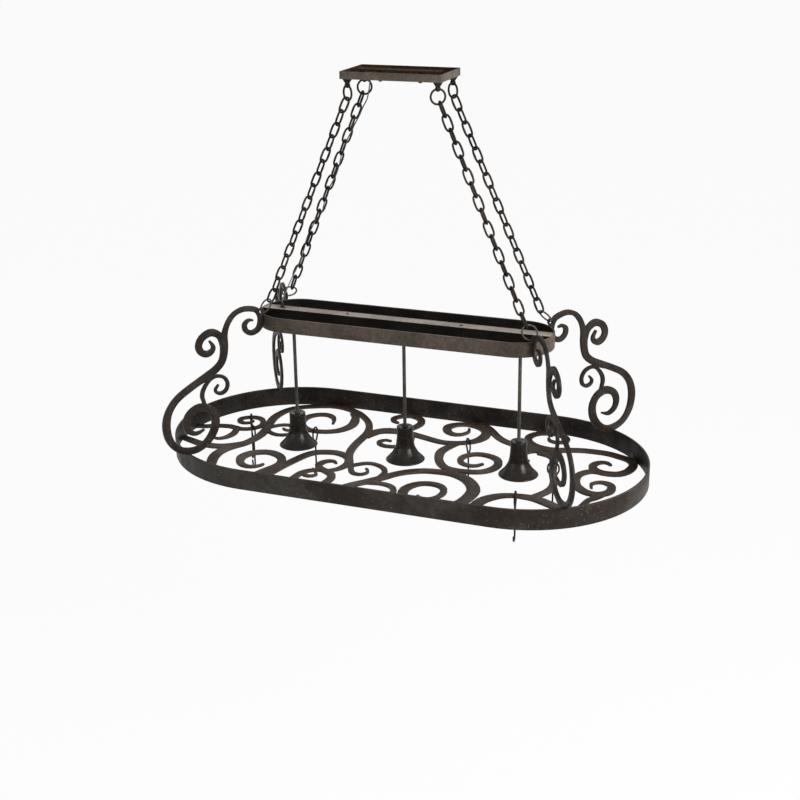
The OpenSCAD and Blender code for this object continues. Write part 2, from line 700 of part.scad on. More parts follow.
shelf_bars = [
    // Tall arch on the left
    [[-410, -280, 24], [-430, -220, 25], [-442, -184, 26], [-454, -152, 27], [-459, -121, 27],
        [-454, -90, 26], [-442, -65, 25], [-429, -46, 24], [-420, -27, 23], [-414, 0, 23],
        [-411, 30, 23], [-414, 60, 23], [-420, 91, 23], [-428, 122, 23], [-432, 154, 23],
        [-429, 185, 22], [-420, 216, 21], [-401, 241, 20], [-370, 260, 20], [-325, 279, 22],
        [-281, 278, 22], [-235, 256, 20], [-208, 233, 18], [-185, 206, 18], [-168, 175, 19],
        [-158, 145, 20], [-154, 118, 21], [-154, 87, 21], [-154, 56, 21], [-152, 25, 21],
        [-147, -5, 21], [-137, -32, 20], [-124, -59, 19], [-112, -82, 16], [-97, -113, 14],
        [-82, -124, 12], [-66, -121, 10], [-58, -107, 8], [-62, -94, 7], [-70, -86, 5]],
    // Spiral inside the arch
    [[-245, 246, 16], [-231, 229, 20], [-222, 210, 23], [-216, 187, 25], [-214, 164, 24],
        [-220, 141, 23], [-235, 118, 21], [-262, 102, 19], [-289, 98, 19], [-312, 102, 19],
        [-331, 116, 21], [-345, 137, 22], [-351, 160, 21], [-350, 178, 20], [-343, 195, 20],
        [-328, 209, 19], [-312, 214, 19], [-297, 212, 17], [-281, 200, 14], [-272, 182, 10],
        [-266, 160, 6]],
    // Ring beside the arch
    [[-412, 84, 12], [-396, 104, 12], [-372, 114, 12], [-346, 103, 12], [-336, 78, 12],
        [-346, 52, 12], [-372, 42, 12], [-397, 52, 12], [-412, 68, 12]],
    [[-340, 88, 12], [-352, 80, 10], [-366, 80, 8], [-376, 88, 6]],
    // Curls towards the left end
    [[-600, 28, 18], [-572, 36, 18], [-555, 46, 18], [-515, 56, 18], [-480, 48, 16],
        [-450, 62, 15], [-438, 90, 16], [-450, 119, 15], [-468, 134, 16], [-492, 133, 16],
        [-511, 117, 15], [-508, 98, 14], [-492, 89, 12], [-476, 97, 9], [-474, 112, 6]],
    [[-497, 56, 16], [-485, 30, 17], [-483, 6, 18], [-490, -18, 14], [-505, -31, 10],
        [-518, -27, 6]],
    [[-428, -40, 20], [-451, -62, 23], [-476, -76, 24], [-505, -79, 24], [-540, -73, 22],
        [-600, -50, 20]],
    // Spiral and bar at the front, left of the middle
    [[-322, -293, 20], [-311, -220, 21], [-301, -186, 22], [-286, -151, 22], [-281, -128, 22],
        [-287, -105, 22], [-301, -86, 22], [-320, -75, 23], [-339, -71, 23], [-358, -76, 24],
        [-378, -90, 25], [-388, -110, 25], [-389, -125, 24], [-383, -144, 21], [-370, -161, 18],
        [-351, -169, 15], [-333, -164, 12], [-322, -152, 9], [-319, -142, 6]],
    [[-297, -293, 20], [-284, -220, 20], [-278, -186, 20], [-270, -144, 21], [-262, -113, 22],
        [-253, -82, 22], [-243, -55, 22], [-230, -36, 22], [-212, -25, 22], [-180, -18, 22],
        [-155, -25, 21], [-138, -38, 20], [-129, -55, 20], [-124, -77, 19], [-128, -98, 17],
        [-136, -114, 14], [-150, -126, 12]],
    [[-151, -80, 6], [-160, -71, 9], [-172, -71, 13], [-184, -82, 16], [-188, -104, 18],
        [-175, -122, 19], [-151, -135, 20], [-133, -150, 20], [-127, -171, 20],
        [-130, -200, 20], [-142, -244, 20], [-150, -293, 20]],
    [[-223, -293, 18], [-216, -230, 18], [-212, -186, 18], [-208, -161, 17], [-196, -143, 15],
        [-180, -133, 14], [-160, -128, 12]],
    [[-206, -158, 12], [-192, -172, 12], [-176, -170, 10], [-170, -158, 8], [-176, -150, 6]],
    // Bar across the middle, with its curls
    [[-150, 104, 22], [-134, 146, 27], [-108, 163, 30], [-70, 167, 27], [-39, 160, 22],
        [-7, 150, 21], [30, 138, 20], [55, 134, 20], [86, 141, 19], [112, 155, 19],
        [130, 175, 23], [139, 205, 27], [135, 230, 24], [122, 250, 21], [100, 264, 20],
        [72, 270, 20], [47, 262, 22], [31, 244, 25], [31, 221, 23], [45, 201, 19],
        [65, 194, 16], [83, 205, 12], [90, 226, 9], [84, 244, 6]],
    [[-40, 158, 14], [-30, 122, 14], [-30, 95, 14], [-48, 70, 14], [-78, 63, 14],
        [-98, 72, 13], [-103, 87, 12], [-92, 101, 9], [-76, 98, 6]],
    [[-76, 164, 18], [-57, 197, 19], [-47, 230, 20], [-52, 256, 20], [-68, 273, 20],
        [-92, 280, 20], [-116, 267, 19], [-127, 248, 17], [-120, 230, 13], [-104, 222, 7]],
    [[-110, -80, 12], [-96, -66, 12], [-81, -55, 12], [-62, -53, 12], [-39, -63, 13],
        [-24, -79, 14], [-16, -102, 15], [-20, -134, 16]],
    // Big spiral right of the middle
    [[86, 136, 18], [72, 102, 21], [67, 75, 23], [71, 48, 23], [79, 25, 22], [92, 2, 21],
        [111, -17, 20], [135, -24, 20], [165, -23, 20], [196, -15, 20], [215, 2, 21],
        [225, 25, 21], [225, 48, 21], [215, 71, 20], [196, 85, 19], [169, 91, 19],
        [146, 83, 18], [131, 64, 17], [129, 41, 16], [140, 22, 15], [161, 14, 14],
        [179, 20, 11], [190, 36, 7]],
    // Arch and spiral at the front middle
    [[-122, -293, 20], [-92, -228, 21], [-64, -186, 22], [-45, -165, 22], [-26, -142, 22],
        [-8, -120, 22], [5, -100, 22], [20, -83, 22], [40, -67, 23], [69, -52, 23],
        [104, -46, 24], [135, -46, 25], [161, -55, 27], [185, -71, 29], [204, -94, 31],
        [217, -121, 33], [219, -151, 31], [212, -192, 28], [190, -230, 26], [145, -252, 25],
        [98, -240, 25], [70, -203, 25], [63, -165, 24], [77, -135, 21], [96, -122, 19],
        [115, -119, 19], [135, -124, 18], [150, -140, 17], [155, -162, 16], [150, -186, 14],
        [134, -202, 12], [114, -202, 9], [103, -192, 6]],
    [[-44, -164, 16], [-8, -157, 15], [19, -161, 15], [36, -175, 15], [43, -195, 15],
        [36, -217, 14], [14, -228, 12], [-10, -220, 9], [-18, -205, 6]],
    // Bar up to the back right
    [[84, 294, 20], [108, 281, 20], [130, 265, 20], [149, 243, 20], [165, 222, 20],
        [184, 202, 20], [205, 188, 20], [235, 175, 20], [270, 166, 24], [300, 160, 28]],
    // Double spiral at the right
    [[296, 250, 6], [302, 236, 10], [318, 228, 13], [334, 232, 15], [344, 246, 17],
        [336, 266, 18], [305, 282, 19], [268, 274, 20], [250, 252, 20], [248, 228, 20],
        [258, 206, 21], [277, 188, 24], [304, 177, 26], [335, 178, 25], [369, 190, 23],
        [400, 198, 22], [435, 200, 22], [465, 198, 22], [496, 187, 22], [524, 174, 24],
        [537, 148, 22], [536, 122, 22], [530, 101, 22], [515, 83, 23], [492, 77, 23],
        [469, 80, 22], [452, 93, 21], [445, 110, 20], [449, 129, 17], [461, 140, 14],
        [475, 140, 11], [486, 129, 7]],
    [[480, 78, 18], [452, 78, 19], [435, 64, 19], [426, 45, 19], [427, 21, 20], [431, 2, 21],
        [438, -17, 22], [450, -32, 23], [465, -44, 23], [485, -50, 23], [504, -44, 22],
        [517, -28, 21], [519, -9, 21], [515, 8, 19], [504, 19, 17], [488, 22, 14],
        [475, 15, 11], [468, 2, 9], [474, -18, 6]],
    [[505, -48, 18], [495, -69, 16], [484, -85, 14], [479, -107, 13], [474, -140, 12],
        [478, -180, 12], [500, -238, 12]],
    [[300, 150, 26], [330, 140, 24], [348, 115, 20], [355, 80, 19], [364, 40, 20],
        [378, 0, 20], [386, -40, 20], [380, -75, 20], [362, -108, 20]],
    [[235, -293, 26], [243, -226, 26], [249, -186, 27], [258, -160, 27], [277, -137, 24],
        [297, -124, 20], [318, -118, 19], [340, -117, 22], [365, -119, 26], [398, -134, 26],
        [428, -152, 26], [464, -186, 26], [496, -232, 26]],
    // Small curl behind the right lamp
    [[296, 156, 12], [276, 146, 12], [264, 122, 12], [260, 96, 12], [268, 78, 10],
        [282, 80, 8], [290, 94, 5]]
];
shelf_steps = 2;

module shelf_outline() {
    intersection() {
        for (k = shelf_bars) bar(fitted(k), shelf_steps);
        stadium(rim_len - 2 * rim_t, rim_w - 2 * rim_t);
    }
}

module scroll_shelf() {
    color("#2c2623")
    translate([0, 0, rim_bottom]) linear_extrude(shelf_t) joined() shelf_outline();
}

/* Arms: drawn in an upright plane, with x from the rim outward and y as height.
   The drawing is fitted between its two seats, the rim and the channel band. */

arm_drawn = [218.5, 314.5];
arm_base = -898.5;
arm_fit = [arm_reach / arm_drawn.x, (rim_drop + arm_notch - channel_drop) / arm_drawn.y];
function drawn(p) = [p.x * arm_fit.x, rim_top - arm_notch + (p.y - arm_base) * arm_fit.y];
function arm_fitted(knots) = [for (k = knots) concat(drawn(k), [k.z * max(arm_fit)])];
arm_bars = [
    // From the curl at the channel over the arch and down to the rim, ending in a big spiral
    [[-190, -594, 4], [-178, -592, 8], [-167, -600, 12], [-167, -612, 13], [-174, -621, 13],
        [-186, -625, 13], [-202, -619, 14], [-211, -603, 17], [-210, -585, 16], [-198, -569, 14],
        [-168, -562, 13], [-143, -568, 12], [-127, -582, 13], [-117, -599, 13],
        [-111, -618, 16], [-109, -640, 20], [-107, -662, 19], [-100, -682, 18],
        [-84, -697, 18], [-60, -710, 19], [-34, -721, 17], [-9, -733, 17], [15, -746, 17],
        [33, -761, 17], [47, -781, 18], [54, -803, 20], [55, -824, 20], [51, -846, 19],
        [40, -867, 17], [23, -882, 16], [-2, -890, 17], [-24, -889, 17], [-46, -878, 18],
        [-64, -859, 20], [-73, -837, 21], [-73, -814, 20], [-60, -794, 19], [-34, -785, 20],
        [-8, -795, 18], [4, -816, 17], [-1, -838, 14], [-21, -849, 10], [-43, -843, 4]],
    // Outer curl
    [[-106, -645, 14], [-101, -622, 16], [-90, -609, 18], [-72, -604, 18], [-51, -614, 17],
        [-42, -632, 17], [-48, -648, 17], [-63, -655, 16], [-76, -650, 13], [-80, -639, 10],
        [-71, -624, 5]],
    // Small inner curl
    [[-50, -790, 10], [-46, -772, 9], [-43, -760, 10], [-45, -747, 10], [-54, -732, 9],
        [-67, -720, 8], [-84, -715, 8], [-103, -722, 9], [-112, -738, 9], [-108, -754, 9],
        [-95, -761, 9], [-82, -757, 8], [-79, -748, 7], [-88, -737, 4]]
];
arm_steps = 3;

module arm_outline() {
    joined() {
        for (k = arm_bars) bar(arm_fitted(k), arm_steps);
        translate([lug_plan_r, lug_z]) circle(r = lug_r, $fn = 32);
    }
}

// Hole of the lug, with bevelled rims
module lug_hole() {
    bevel = 1;
    translate([0, 0, -1]) cylinder(r = lug_hole_r, h = arm_t + 2);
    translate([0, 0, -1]) cylinder(r1 = lug_hole_r + bevel + 1, r2 = lug_hole_r, h = bevel + 1);
    translate([0, 0, arm_t - bevel])
        cylinder(r1 = lug_hole_r, r2 = lug_hole_r + bevel + 1, h = bevel + 1);
}

module arm(c) {
    color("#241f1c")
    difference() {
        translate([c.x * arm_foot.x, c.y * arm_foot.y, 0])
            rotate([0, 0, arm_angle(c)]) rotate([90, 0, 0])
            translate([0, 0, -arm_t / 2])
            difference() {
                linear_extrude(arm_t) arm_outline();
                translate([lug_plan_r, lug_z, 0]) lug_hole();
            }
        translate([0, 0, channel_top - channel_h]) linear_extrude(channel_h)
            stadium(channel_len, channel_w);
        translate([0, 0, rim_bottom]) band(rim_len, rim_w, rim_t, rim_h);
    }
}

/* Hooks: a loop of wire over a bar of the shelf, a shank and an open end for a pan.
   A loop rides on the upper corners of its bar and turns about its own centre. */

// Each hook's bar in shelf_bars, the knot it hangs at, and the side its open end faces
hook_places = [[1, 8, 1], [12, 9, 1], [24, 6, -1], [4, 9, 1], [4, 5, 1], [23, 3, 1]];

function hook_bar(h) = fitted(shelf_bars[hook_places[h - 1][0]]);
function hook_knot(h) = hook_bar(h)[hook_places[h - 1][1]];
function hook_turn(h) = heading(hook_bar(h), hook_places[h - 1][1]);
loop_in_r = hook_loop_r * shelf_grow;
function hook_hang(h) = sqrt(pow(loop_in_r - hook_gap, 2) - pow(hook_knot(h).z / 2, 2));
function hook_at(h) = [hook_knot(h).x, hook_knot(h).y, shelf_top - hook_hang(h)];

loop_mid_r = loop_in_r + hook_wire / 2;
hook_mid_r = hook_end_r + hook_wire / 2;
neck_drop = 32;
loop_leg = 10;
tip_rise = 6;
tip_lean = 1;
shank_foot = hook_h - loop_mid_r - hook_wire - hook_mid_r;

// A piece of wire from p to q with round ends
module wire(p, q) {
    v = q - p;
    translate(p) rotate([0, acos(v.z / norm(v)), atan2(v.y, v.x)])
        cylinder(d = hook_wire, h = norm(v), $fn = 24);
    for (e = [p, q]) translate(e) sphere(d = hook_wire, $fn = 24);
}

module wire_arc(r, from, sweep) {
    rotate([90, 0, 0]) rotate([0, 0, from]) rotate_extrude(angle = sweep)
        translate([r, 0]) circle(d = hook_wire, $fn = 24);
}

module hook(h) {
    side = hook_places[h - 1][2];
    color("#1c1917")
    translate(hook_at(h)) rotate([0, 0, hook_turn(h) + 90]) {
        wire_arc(loop_mid_r, 0, 180);
        for (s = [-1, 1]) {
            wire([s * loop_mid_r, 0, 0], [s * loop_mid_r, 0, -loop_leg]);
            wire([s * loop_mid_r, 0, -loop_leg], [0, 0, -neck_drop]);
        }
        wire([0, 0, -neck_drop], [0, 0, -shank_foot]);
        translate([side * hook_mid_r, 0, -shank_foot]) wire_arc(hook_mid_r, 180, 180);
        wire([side * 2 * hook_mid_r, 0, -shank_foot],
            [side * (2 * hook_mid_r + tip_lean), 0, tip_rise - shank_foot]);
    }
}

/* Places of the pivots, for the list of joints */
for (c = [["fl", FL], ["fr", FR], ["bl", BL], ["br", BR]])
    echo(str("PIVOT ", c[0]), E = eye_at(c[1]), U = u_at(c[1]), V = v_at(c[1]), W = w_at(c[1]));
echo(LINKS = link_count, PITCH = link_in_len(FL), REACH = arm_reach);
for (h = [1 : len(hook_places)])
    echo(str("HOOK ", h), at = hook_at(h), turn = hook_turn(h));

canopy_shell();
ceiling_bar();
canopy_studs();
cap_nuts();
loop_hangers();
hanger_nuts();
cord_grommet();
top_ring(FL);  // top_ring_fl
top_ring(FR);  // top_ring_fr
top_ring(BL);  // top_ring_bl
top_ring(BR);  // top_ring_br
chain(FL);  // chain_fl
chain(FR);  // chain_fr
chain(BL);  // chain_bl
chain(BR);  // chain_br
foot_ring(FL);  // foot_ring_fl
foot_ring(FR);  // foot_ring_fr
foot_ring(BL);  // foot_ring_bl
foot_ring(BR);  // foot_ring_br
supply_cord();
channel_band();
light_bar();
wire_cover();
cover_screws();
cord_gland();
lamp_rod(-1);  // lamp_rod_left
lamp_rod(0);  // lamp_rod_middle
lamp_rod(1);  // lamp_rod_right
rod_nuts();
lamp_bell(-1);  // lamp_bell_left
lamp_bell(0);  // lamp_bell_middle
lamp_bell(1);  // lamp_bell_right
bell_nuts();
lamp_socket(-1);  // lamp_socket_left
lamp_socket(0);  // lamp_socket_middle
lamp_socket(1);  // lamp_socket_right
bulb(-1);  // bulb_left
bulb(0);  // bulb_middle
bulb(1);  // bulb_right
arm(FL);  // arm_fl
arm(FR);  // arm_fr
arm(BL);  // arm_bl
arm(BR);  // arm_br
rim_band();
rim_splice();
scroll_shelf();
hook(1);  // hook_1
hook(2);  // hook_2
hook(3);  // hook_3
hook(4);  // hook_4
hook(5);  // hook_5
hook(6);  // hook_6
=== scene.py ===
"""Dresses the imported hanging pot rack: forged iron, chains, lamps, cord and loose hooks.

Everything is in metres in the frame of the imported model: the origin is the middle of the
face that meets the ceiling, +X runs along the rack, +Y to its back and +Z up.
"""

from __future__ import annotations

import json
import logging
import math
from dataclasses import dataclass
from enum import Enum

import bmesh
import bpy
import numpy as np
from mathutils import Matrix, Vector

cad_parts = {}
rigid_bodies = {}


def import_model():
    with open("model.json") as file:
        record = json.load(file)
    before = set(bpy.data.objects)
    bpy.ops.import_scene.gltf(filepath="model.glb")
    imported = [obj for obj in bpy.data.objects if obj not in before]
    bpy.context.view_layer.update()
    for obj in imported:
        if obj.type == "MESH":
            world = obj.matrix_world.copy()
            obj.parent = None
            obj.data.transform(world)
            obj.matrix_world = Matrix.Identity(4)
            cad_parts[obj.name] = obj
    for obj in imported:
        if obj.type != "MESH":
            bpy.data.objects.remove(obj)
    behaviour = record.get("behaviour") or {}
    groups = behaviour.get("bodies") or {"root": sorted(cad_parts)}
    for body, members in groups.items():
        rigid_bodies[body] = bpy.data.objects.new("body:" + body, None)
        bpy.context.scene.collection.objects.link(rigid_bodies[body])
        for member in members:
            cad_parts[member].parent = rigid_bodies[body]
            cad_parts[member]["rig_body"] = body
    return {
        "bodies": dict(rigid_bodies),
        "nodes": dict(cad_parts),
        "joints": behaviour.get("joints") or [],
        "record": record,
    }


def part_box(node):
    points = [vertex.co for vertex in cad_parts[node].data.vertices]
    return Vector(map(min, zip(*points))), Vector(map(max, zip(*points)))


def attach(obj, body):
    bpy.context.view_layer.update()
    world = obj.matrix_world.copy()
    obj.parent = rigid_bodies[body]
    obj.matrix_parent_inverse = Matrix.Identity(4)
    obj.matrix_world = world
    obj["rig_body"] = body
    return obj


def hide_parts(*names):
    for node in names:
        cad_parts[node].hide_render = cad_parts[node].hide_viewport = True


LOG = logging.getLogger("pot_rack")
MM = 0.001

Array = np.ndarray
Colour = tuple[float, float, float]
Point = tuple[float, float, float]

UP = np.array([0.0, 0.0, 1.0])
WHITE = (1.0, 1.0, 1.0, 1.0)

# Worn paint: how much finer its grain is than its patches, and the scale of fleck clusters
GRAIN_FINER = 11.0
CLUSTER_SCALE = 22.0
# Values of each noise between which it fades from none to all of its effect
FLECK_FADE = (0.18, 0.42)
CLUSTER_FADE = (0.42, 0.62)
PATCH_FADE = (0.4, 0.62)
GRAIN_FADE = (0.3, 0.72)
# Share of the flecks outside their clusters, and the shades of the grain
SPARSE = 0.15
GRAIN_SHADES = (0.72, 1.3)
# How far grain and patches change the roughness either way
GRAIN_ROUGHNESS = 0.09
PATCH_ROUGHNESS = 0.05
# Height of the hammered relief in metres
RELIEF_HEIGHT = 0.0012

# Softened solids: points that merge, in metres, and the bend that still counts as flat
MERGE_DISTANCE = 2e-6
FLAT_DEGREES = 0.6


# ---------------- shader building


class Graph:
    """A node tree with short calls that add a node and wire its inputs."""

    def __init__(self, tree: bpy.types.NodeTree) -> None:
        """Keeps the tree.

        Args:
            tree: the node tree to build in.
        """
        self.tree = tree

    def add(self, kind: str, inputs: dict | None = None, **settings) -> bpy.types.Node:
        """Adds a node.

        Args:
            kind: Blender's name of the node type.
            inputs: value or source socket for each input, by name or number.
            settings: properties of the node itself.

        Returns:
            The new node.
        """
        node = self.tree.nodes.new(kind)
        for name, value in settings.items():
            setattr(node, name, value)
        for key, value in (inputs or {}).items():
            if isinstance(value, bpy.types.NodeSocket):
                self.tree.links.new(value, node.inputs[key])
            else:
                node.inputs[key].default_value = value
        return node

    def math(self, operation: str, a, b=0.0) -> bpy.types.NodeSocket:
        """The result of one arithmetic operation on two sockets or numbers."""
        return self.add("ShaderNodeMath", {0: a, 1: b}, operation=operation).outputs[0]

    def ramp(self, value, low: float, high: float, to_low: float, to_high: float):
        """A smooth step of value from to_low at low to to_high at high."""
        return self.add(
            "ShaderNodeMapRange",
            {0: value, 1: low, 2: high, 3: to_low, 4: to_high},
            interpolation_type="SMOOTHSTEP",
        ).outputs[0]

    def mix(self, factor, a, b, blend: str = "MIX") -> bpy.types.NodeSocket:
        """The mix of two colours by a factor."""
        node = self.add("ShaderNodeMix", {0: factor, 6: a, 7: b}, data_type="RGBA")
        node.blend_type = blend
        return node.outputs[2]


def new_group(
    name: str, inputs: dict[str, object], outputs: dict[str, str]
) -> tuple[Graph, dict]:
    """Starts a shader node group.

    Args:
        name: the group's name.
        inputs: default value of each input, a number or a colour of four numbers.
        outputs: socket type of each output.

    Returns:
        The graph, and its group input and output nodes by the names "in" and "out".
    """
    tree = bpy.data.node_groups.new(name, "ShaderNodeTree")
    for key, value in inputs.items():
        kind = "NodeSocketColor" if isinstance(value, tuple) else "NodeSocketFloat"
        socket = tree.interface.new_socket(key, in_out="INPUT", socket_type=kind)
        socket.default_value = value
    for key, kind in outputs.items():
        tree.interface.new_socket(key, in_out="OUTPUT", socket_type=kind)
    graph = Graph(tree)
    ends = {"in": graph.add("NodeGroupInput"), "out": graph.add("NodeGroupOutput")}
    return graph, ends


def mottled_metal_group() -> bpy.types.NodeTree:
    """Builds the group for worn paint on iron, once.

    Colour drifts in soft patches from one tone to another, a finer noise darkens and lightens
    it, and small pale flecks show in clusters, where random cells of a Voronoi pattern are
    near their centres. Height and roughness follow the same noises.

    Returns:
        The node group.
    """
    known = bpy.data.node_groups.get("mottled_metal")
    if known:
        return known
    graph, ends = new_group(
        "mottled_metal",
        {
            "Base": (0.03, 0.03, 0.03, 1.0),
            "Patch": (0.05, 0.04, 0.03, 1.0),
            "Fleck": (0.3, 0.25, 0.2, 1.0),
            "Patch Scale": 14.0,
            "Fleck Scale": 260.0,
            "Fleck Share": 0.2,
            "Roughness": 0.45,
        },
        {
            "Color": "NodeSocketColor",
            "Roughness": "NodeSocketFloat",
            "Height": "NodeSocketFloat",
        },
    )
    given = ends["in"].outputs
    place = graph.add("ShaderNodeTexCoord").outputs["Object"]
    drift = graph.add(
        "ShaderNodeTexNoise",
        {"Vector": place, "Scale": given["Patch Scale"], "Detail": 5.0, "Roughness": 0.6},
    ).outputs[0]
    grain_scale = graph.math("MULTIPLY", given["Patch Scale"], GRAIN_FINER)
    grain = graph.add(
        "ShaderNodeTexNoise",
        {"Vector": place, "Scale": grain_scale, "Detail": 4.0, "Roughness": 0.65},
    ).outputs[0]
    cells = graph.add("ShaderNodeTexVoronoi", {"Vector": place, "Scale": given["Fleck Scale"]})
    chance = graph.add("ShaderNodeSeparateColor", {0: cells.outputs["Color"]}).outputs[0]
    clusters = graph.add(
        "ShaderNodeTexNoise", {"Vector": place, "Scale": CLUSTER_SCALE, "Detail": 2.0}
    ).outputs[0]
    near = graph.ramp(cells.outputs["Distance"], *FLECK_FADE, 1.0, 0.0)
    crowd = graph.ramp(clusters, *CLUSTER_FADE, SPARSE, 1.0)
    limit = graph.math("SUBTRACT", 1.0, graph.math("MULTIPLY", given["Fleck Share"], crowd))
    fleck = graph.math("MULTIPLY", near, graph.math("GREATER_THAN", chance, limit))
    toned = graph.mix(graph.ramp(drift, *PATCH_FADE, 0.0, 1.0), given["Base"], given["Patch"])
    shade = graph.ramp(grain, *GRAIN_FADE, *GRAIN_SHADES)
    shaded = graph.mix(
        1.0,
        toned,
        graph.add("ShaderNodeCombineColor", {0: shade, 1: shade, 2: shade}).outputs[0],
        "MULTIPLY",
    )
    graph.tree.links.new(graph.mix(fleck, shaded, given["Fleck"]), ends["out"].inputs["Color"])
    by_grain = graph.ramp(grain, 0.3, 0.7, -GRAIN_ROUGHNESS, GRAIN_ROUGHNESS)
    by_patch = graph.ramp(drift, 0.35, 0.65, PATCH_ROUGHNESS, -PATCH_ROUGHNESS)
    rough = graph.math("ADD", graph.math("ADD", given["Roughness"], by_grain), by_patch)
    graph.tree.links.new(rough, ends["out"].inputs["Roughness"])
    halves = (graph.math("MULTIPLY", noise, 0.5) for noise in (drift, grain))
    graph.tree.links.new(graph.math("ADD", *halves), ends["out"].inputs["Height"])
    return graph.tree


def surface(name: str, **fixed) -> tuple[bpy.types.Material, Graph, bpy.types.Node]:
    """Starts a material on one Principled shader.

    Args:
        name: the material's name.
        fixed: plain values for the shader's sockets, with _ for each space.

    Returns:
        The material, its graph, and the shader node.
    """
    material = bpy.data.materials.new(name)
    material.use_nodes = True
    graph = Graph(material.node_tree)
    shader = material.node_tree.nodes["Principled BSDF"]
    for key, value in fixed.items():
        shader.inputs[key.replace("_", " ")].default_value = value
    return material, graph, shader


@dataclass(frozen=True)
class WornMetal:
    """Satin paint or a dark skin on iron, mottled, flecked and slightly uneven.

    Its Blender material has a name of its own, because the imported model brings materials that
    are named after its slots.
    """

    name: str
    base: Colour
    patch: Colour
    fleck: Colour = (0.16, 0.125, 0.095)
    fleck_share: float = 0.09
    fleck_scale: float = 330.0
    patch_scale: float = 12.0
    roughness: float = 0.5
    metallic: float = 0.0
    specular: float = 0.15
    relief: float = 0.35

    def build(self) -> bpy.types.Material:
        """Makes the material, or returns the one that was made before."""
        name = f"{self.name}_worn"
        known = bpy.data.materials.get(name)
        if known:
            return known
        material, graph, shader = surface(
            name, Metallic=self.metallic, Specular_IOR_Level=self.specular
        )
        inputs = {
            "Base": (*self.base, 1.0),
            "Patch": (*self.patch, 1.0),
            "Fleck": (*self.fleck, 1.0),
            "Patch Scale": self.patch_scale,
            "Fleck Scale": self.fleck_scale,
            "Fleck Share": self.fleck_share,
            "Roughness": self.roughness,
        }
        worn = graph.add("ShaderNodeGroup", inputs, node_tree=mottled_metal_group()).outputs
        relief = {"Strength": self.relief, "Distance": RELIEF_HEIGHT, "Height": worn["Height"]}
        bump = graph.add("ShaderNodeBump", relief)
        graph.tree.links.new(worn["Color"], shader.inputs["Base Color"])
        graph.tree.links.new(worn["Roughness"], shader.inputs["Roughness"])
        graph.tree.links.new(bump.outputs["Normal"], shader.inputs["Normal"])
        return material


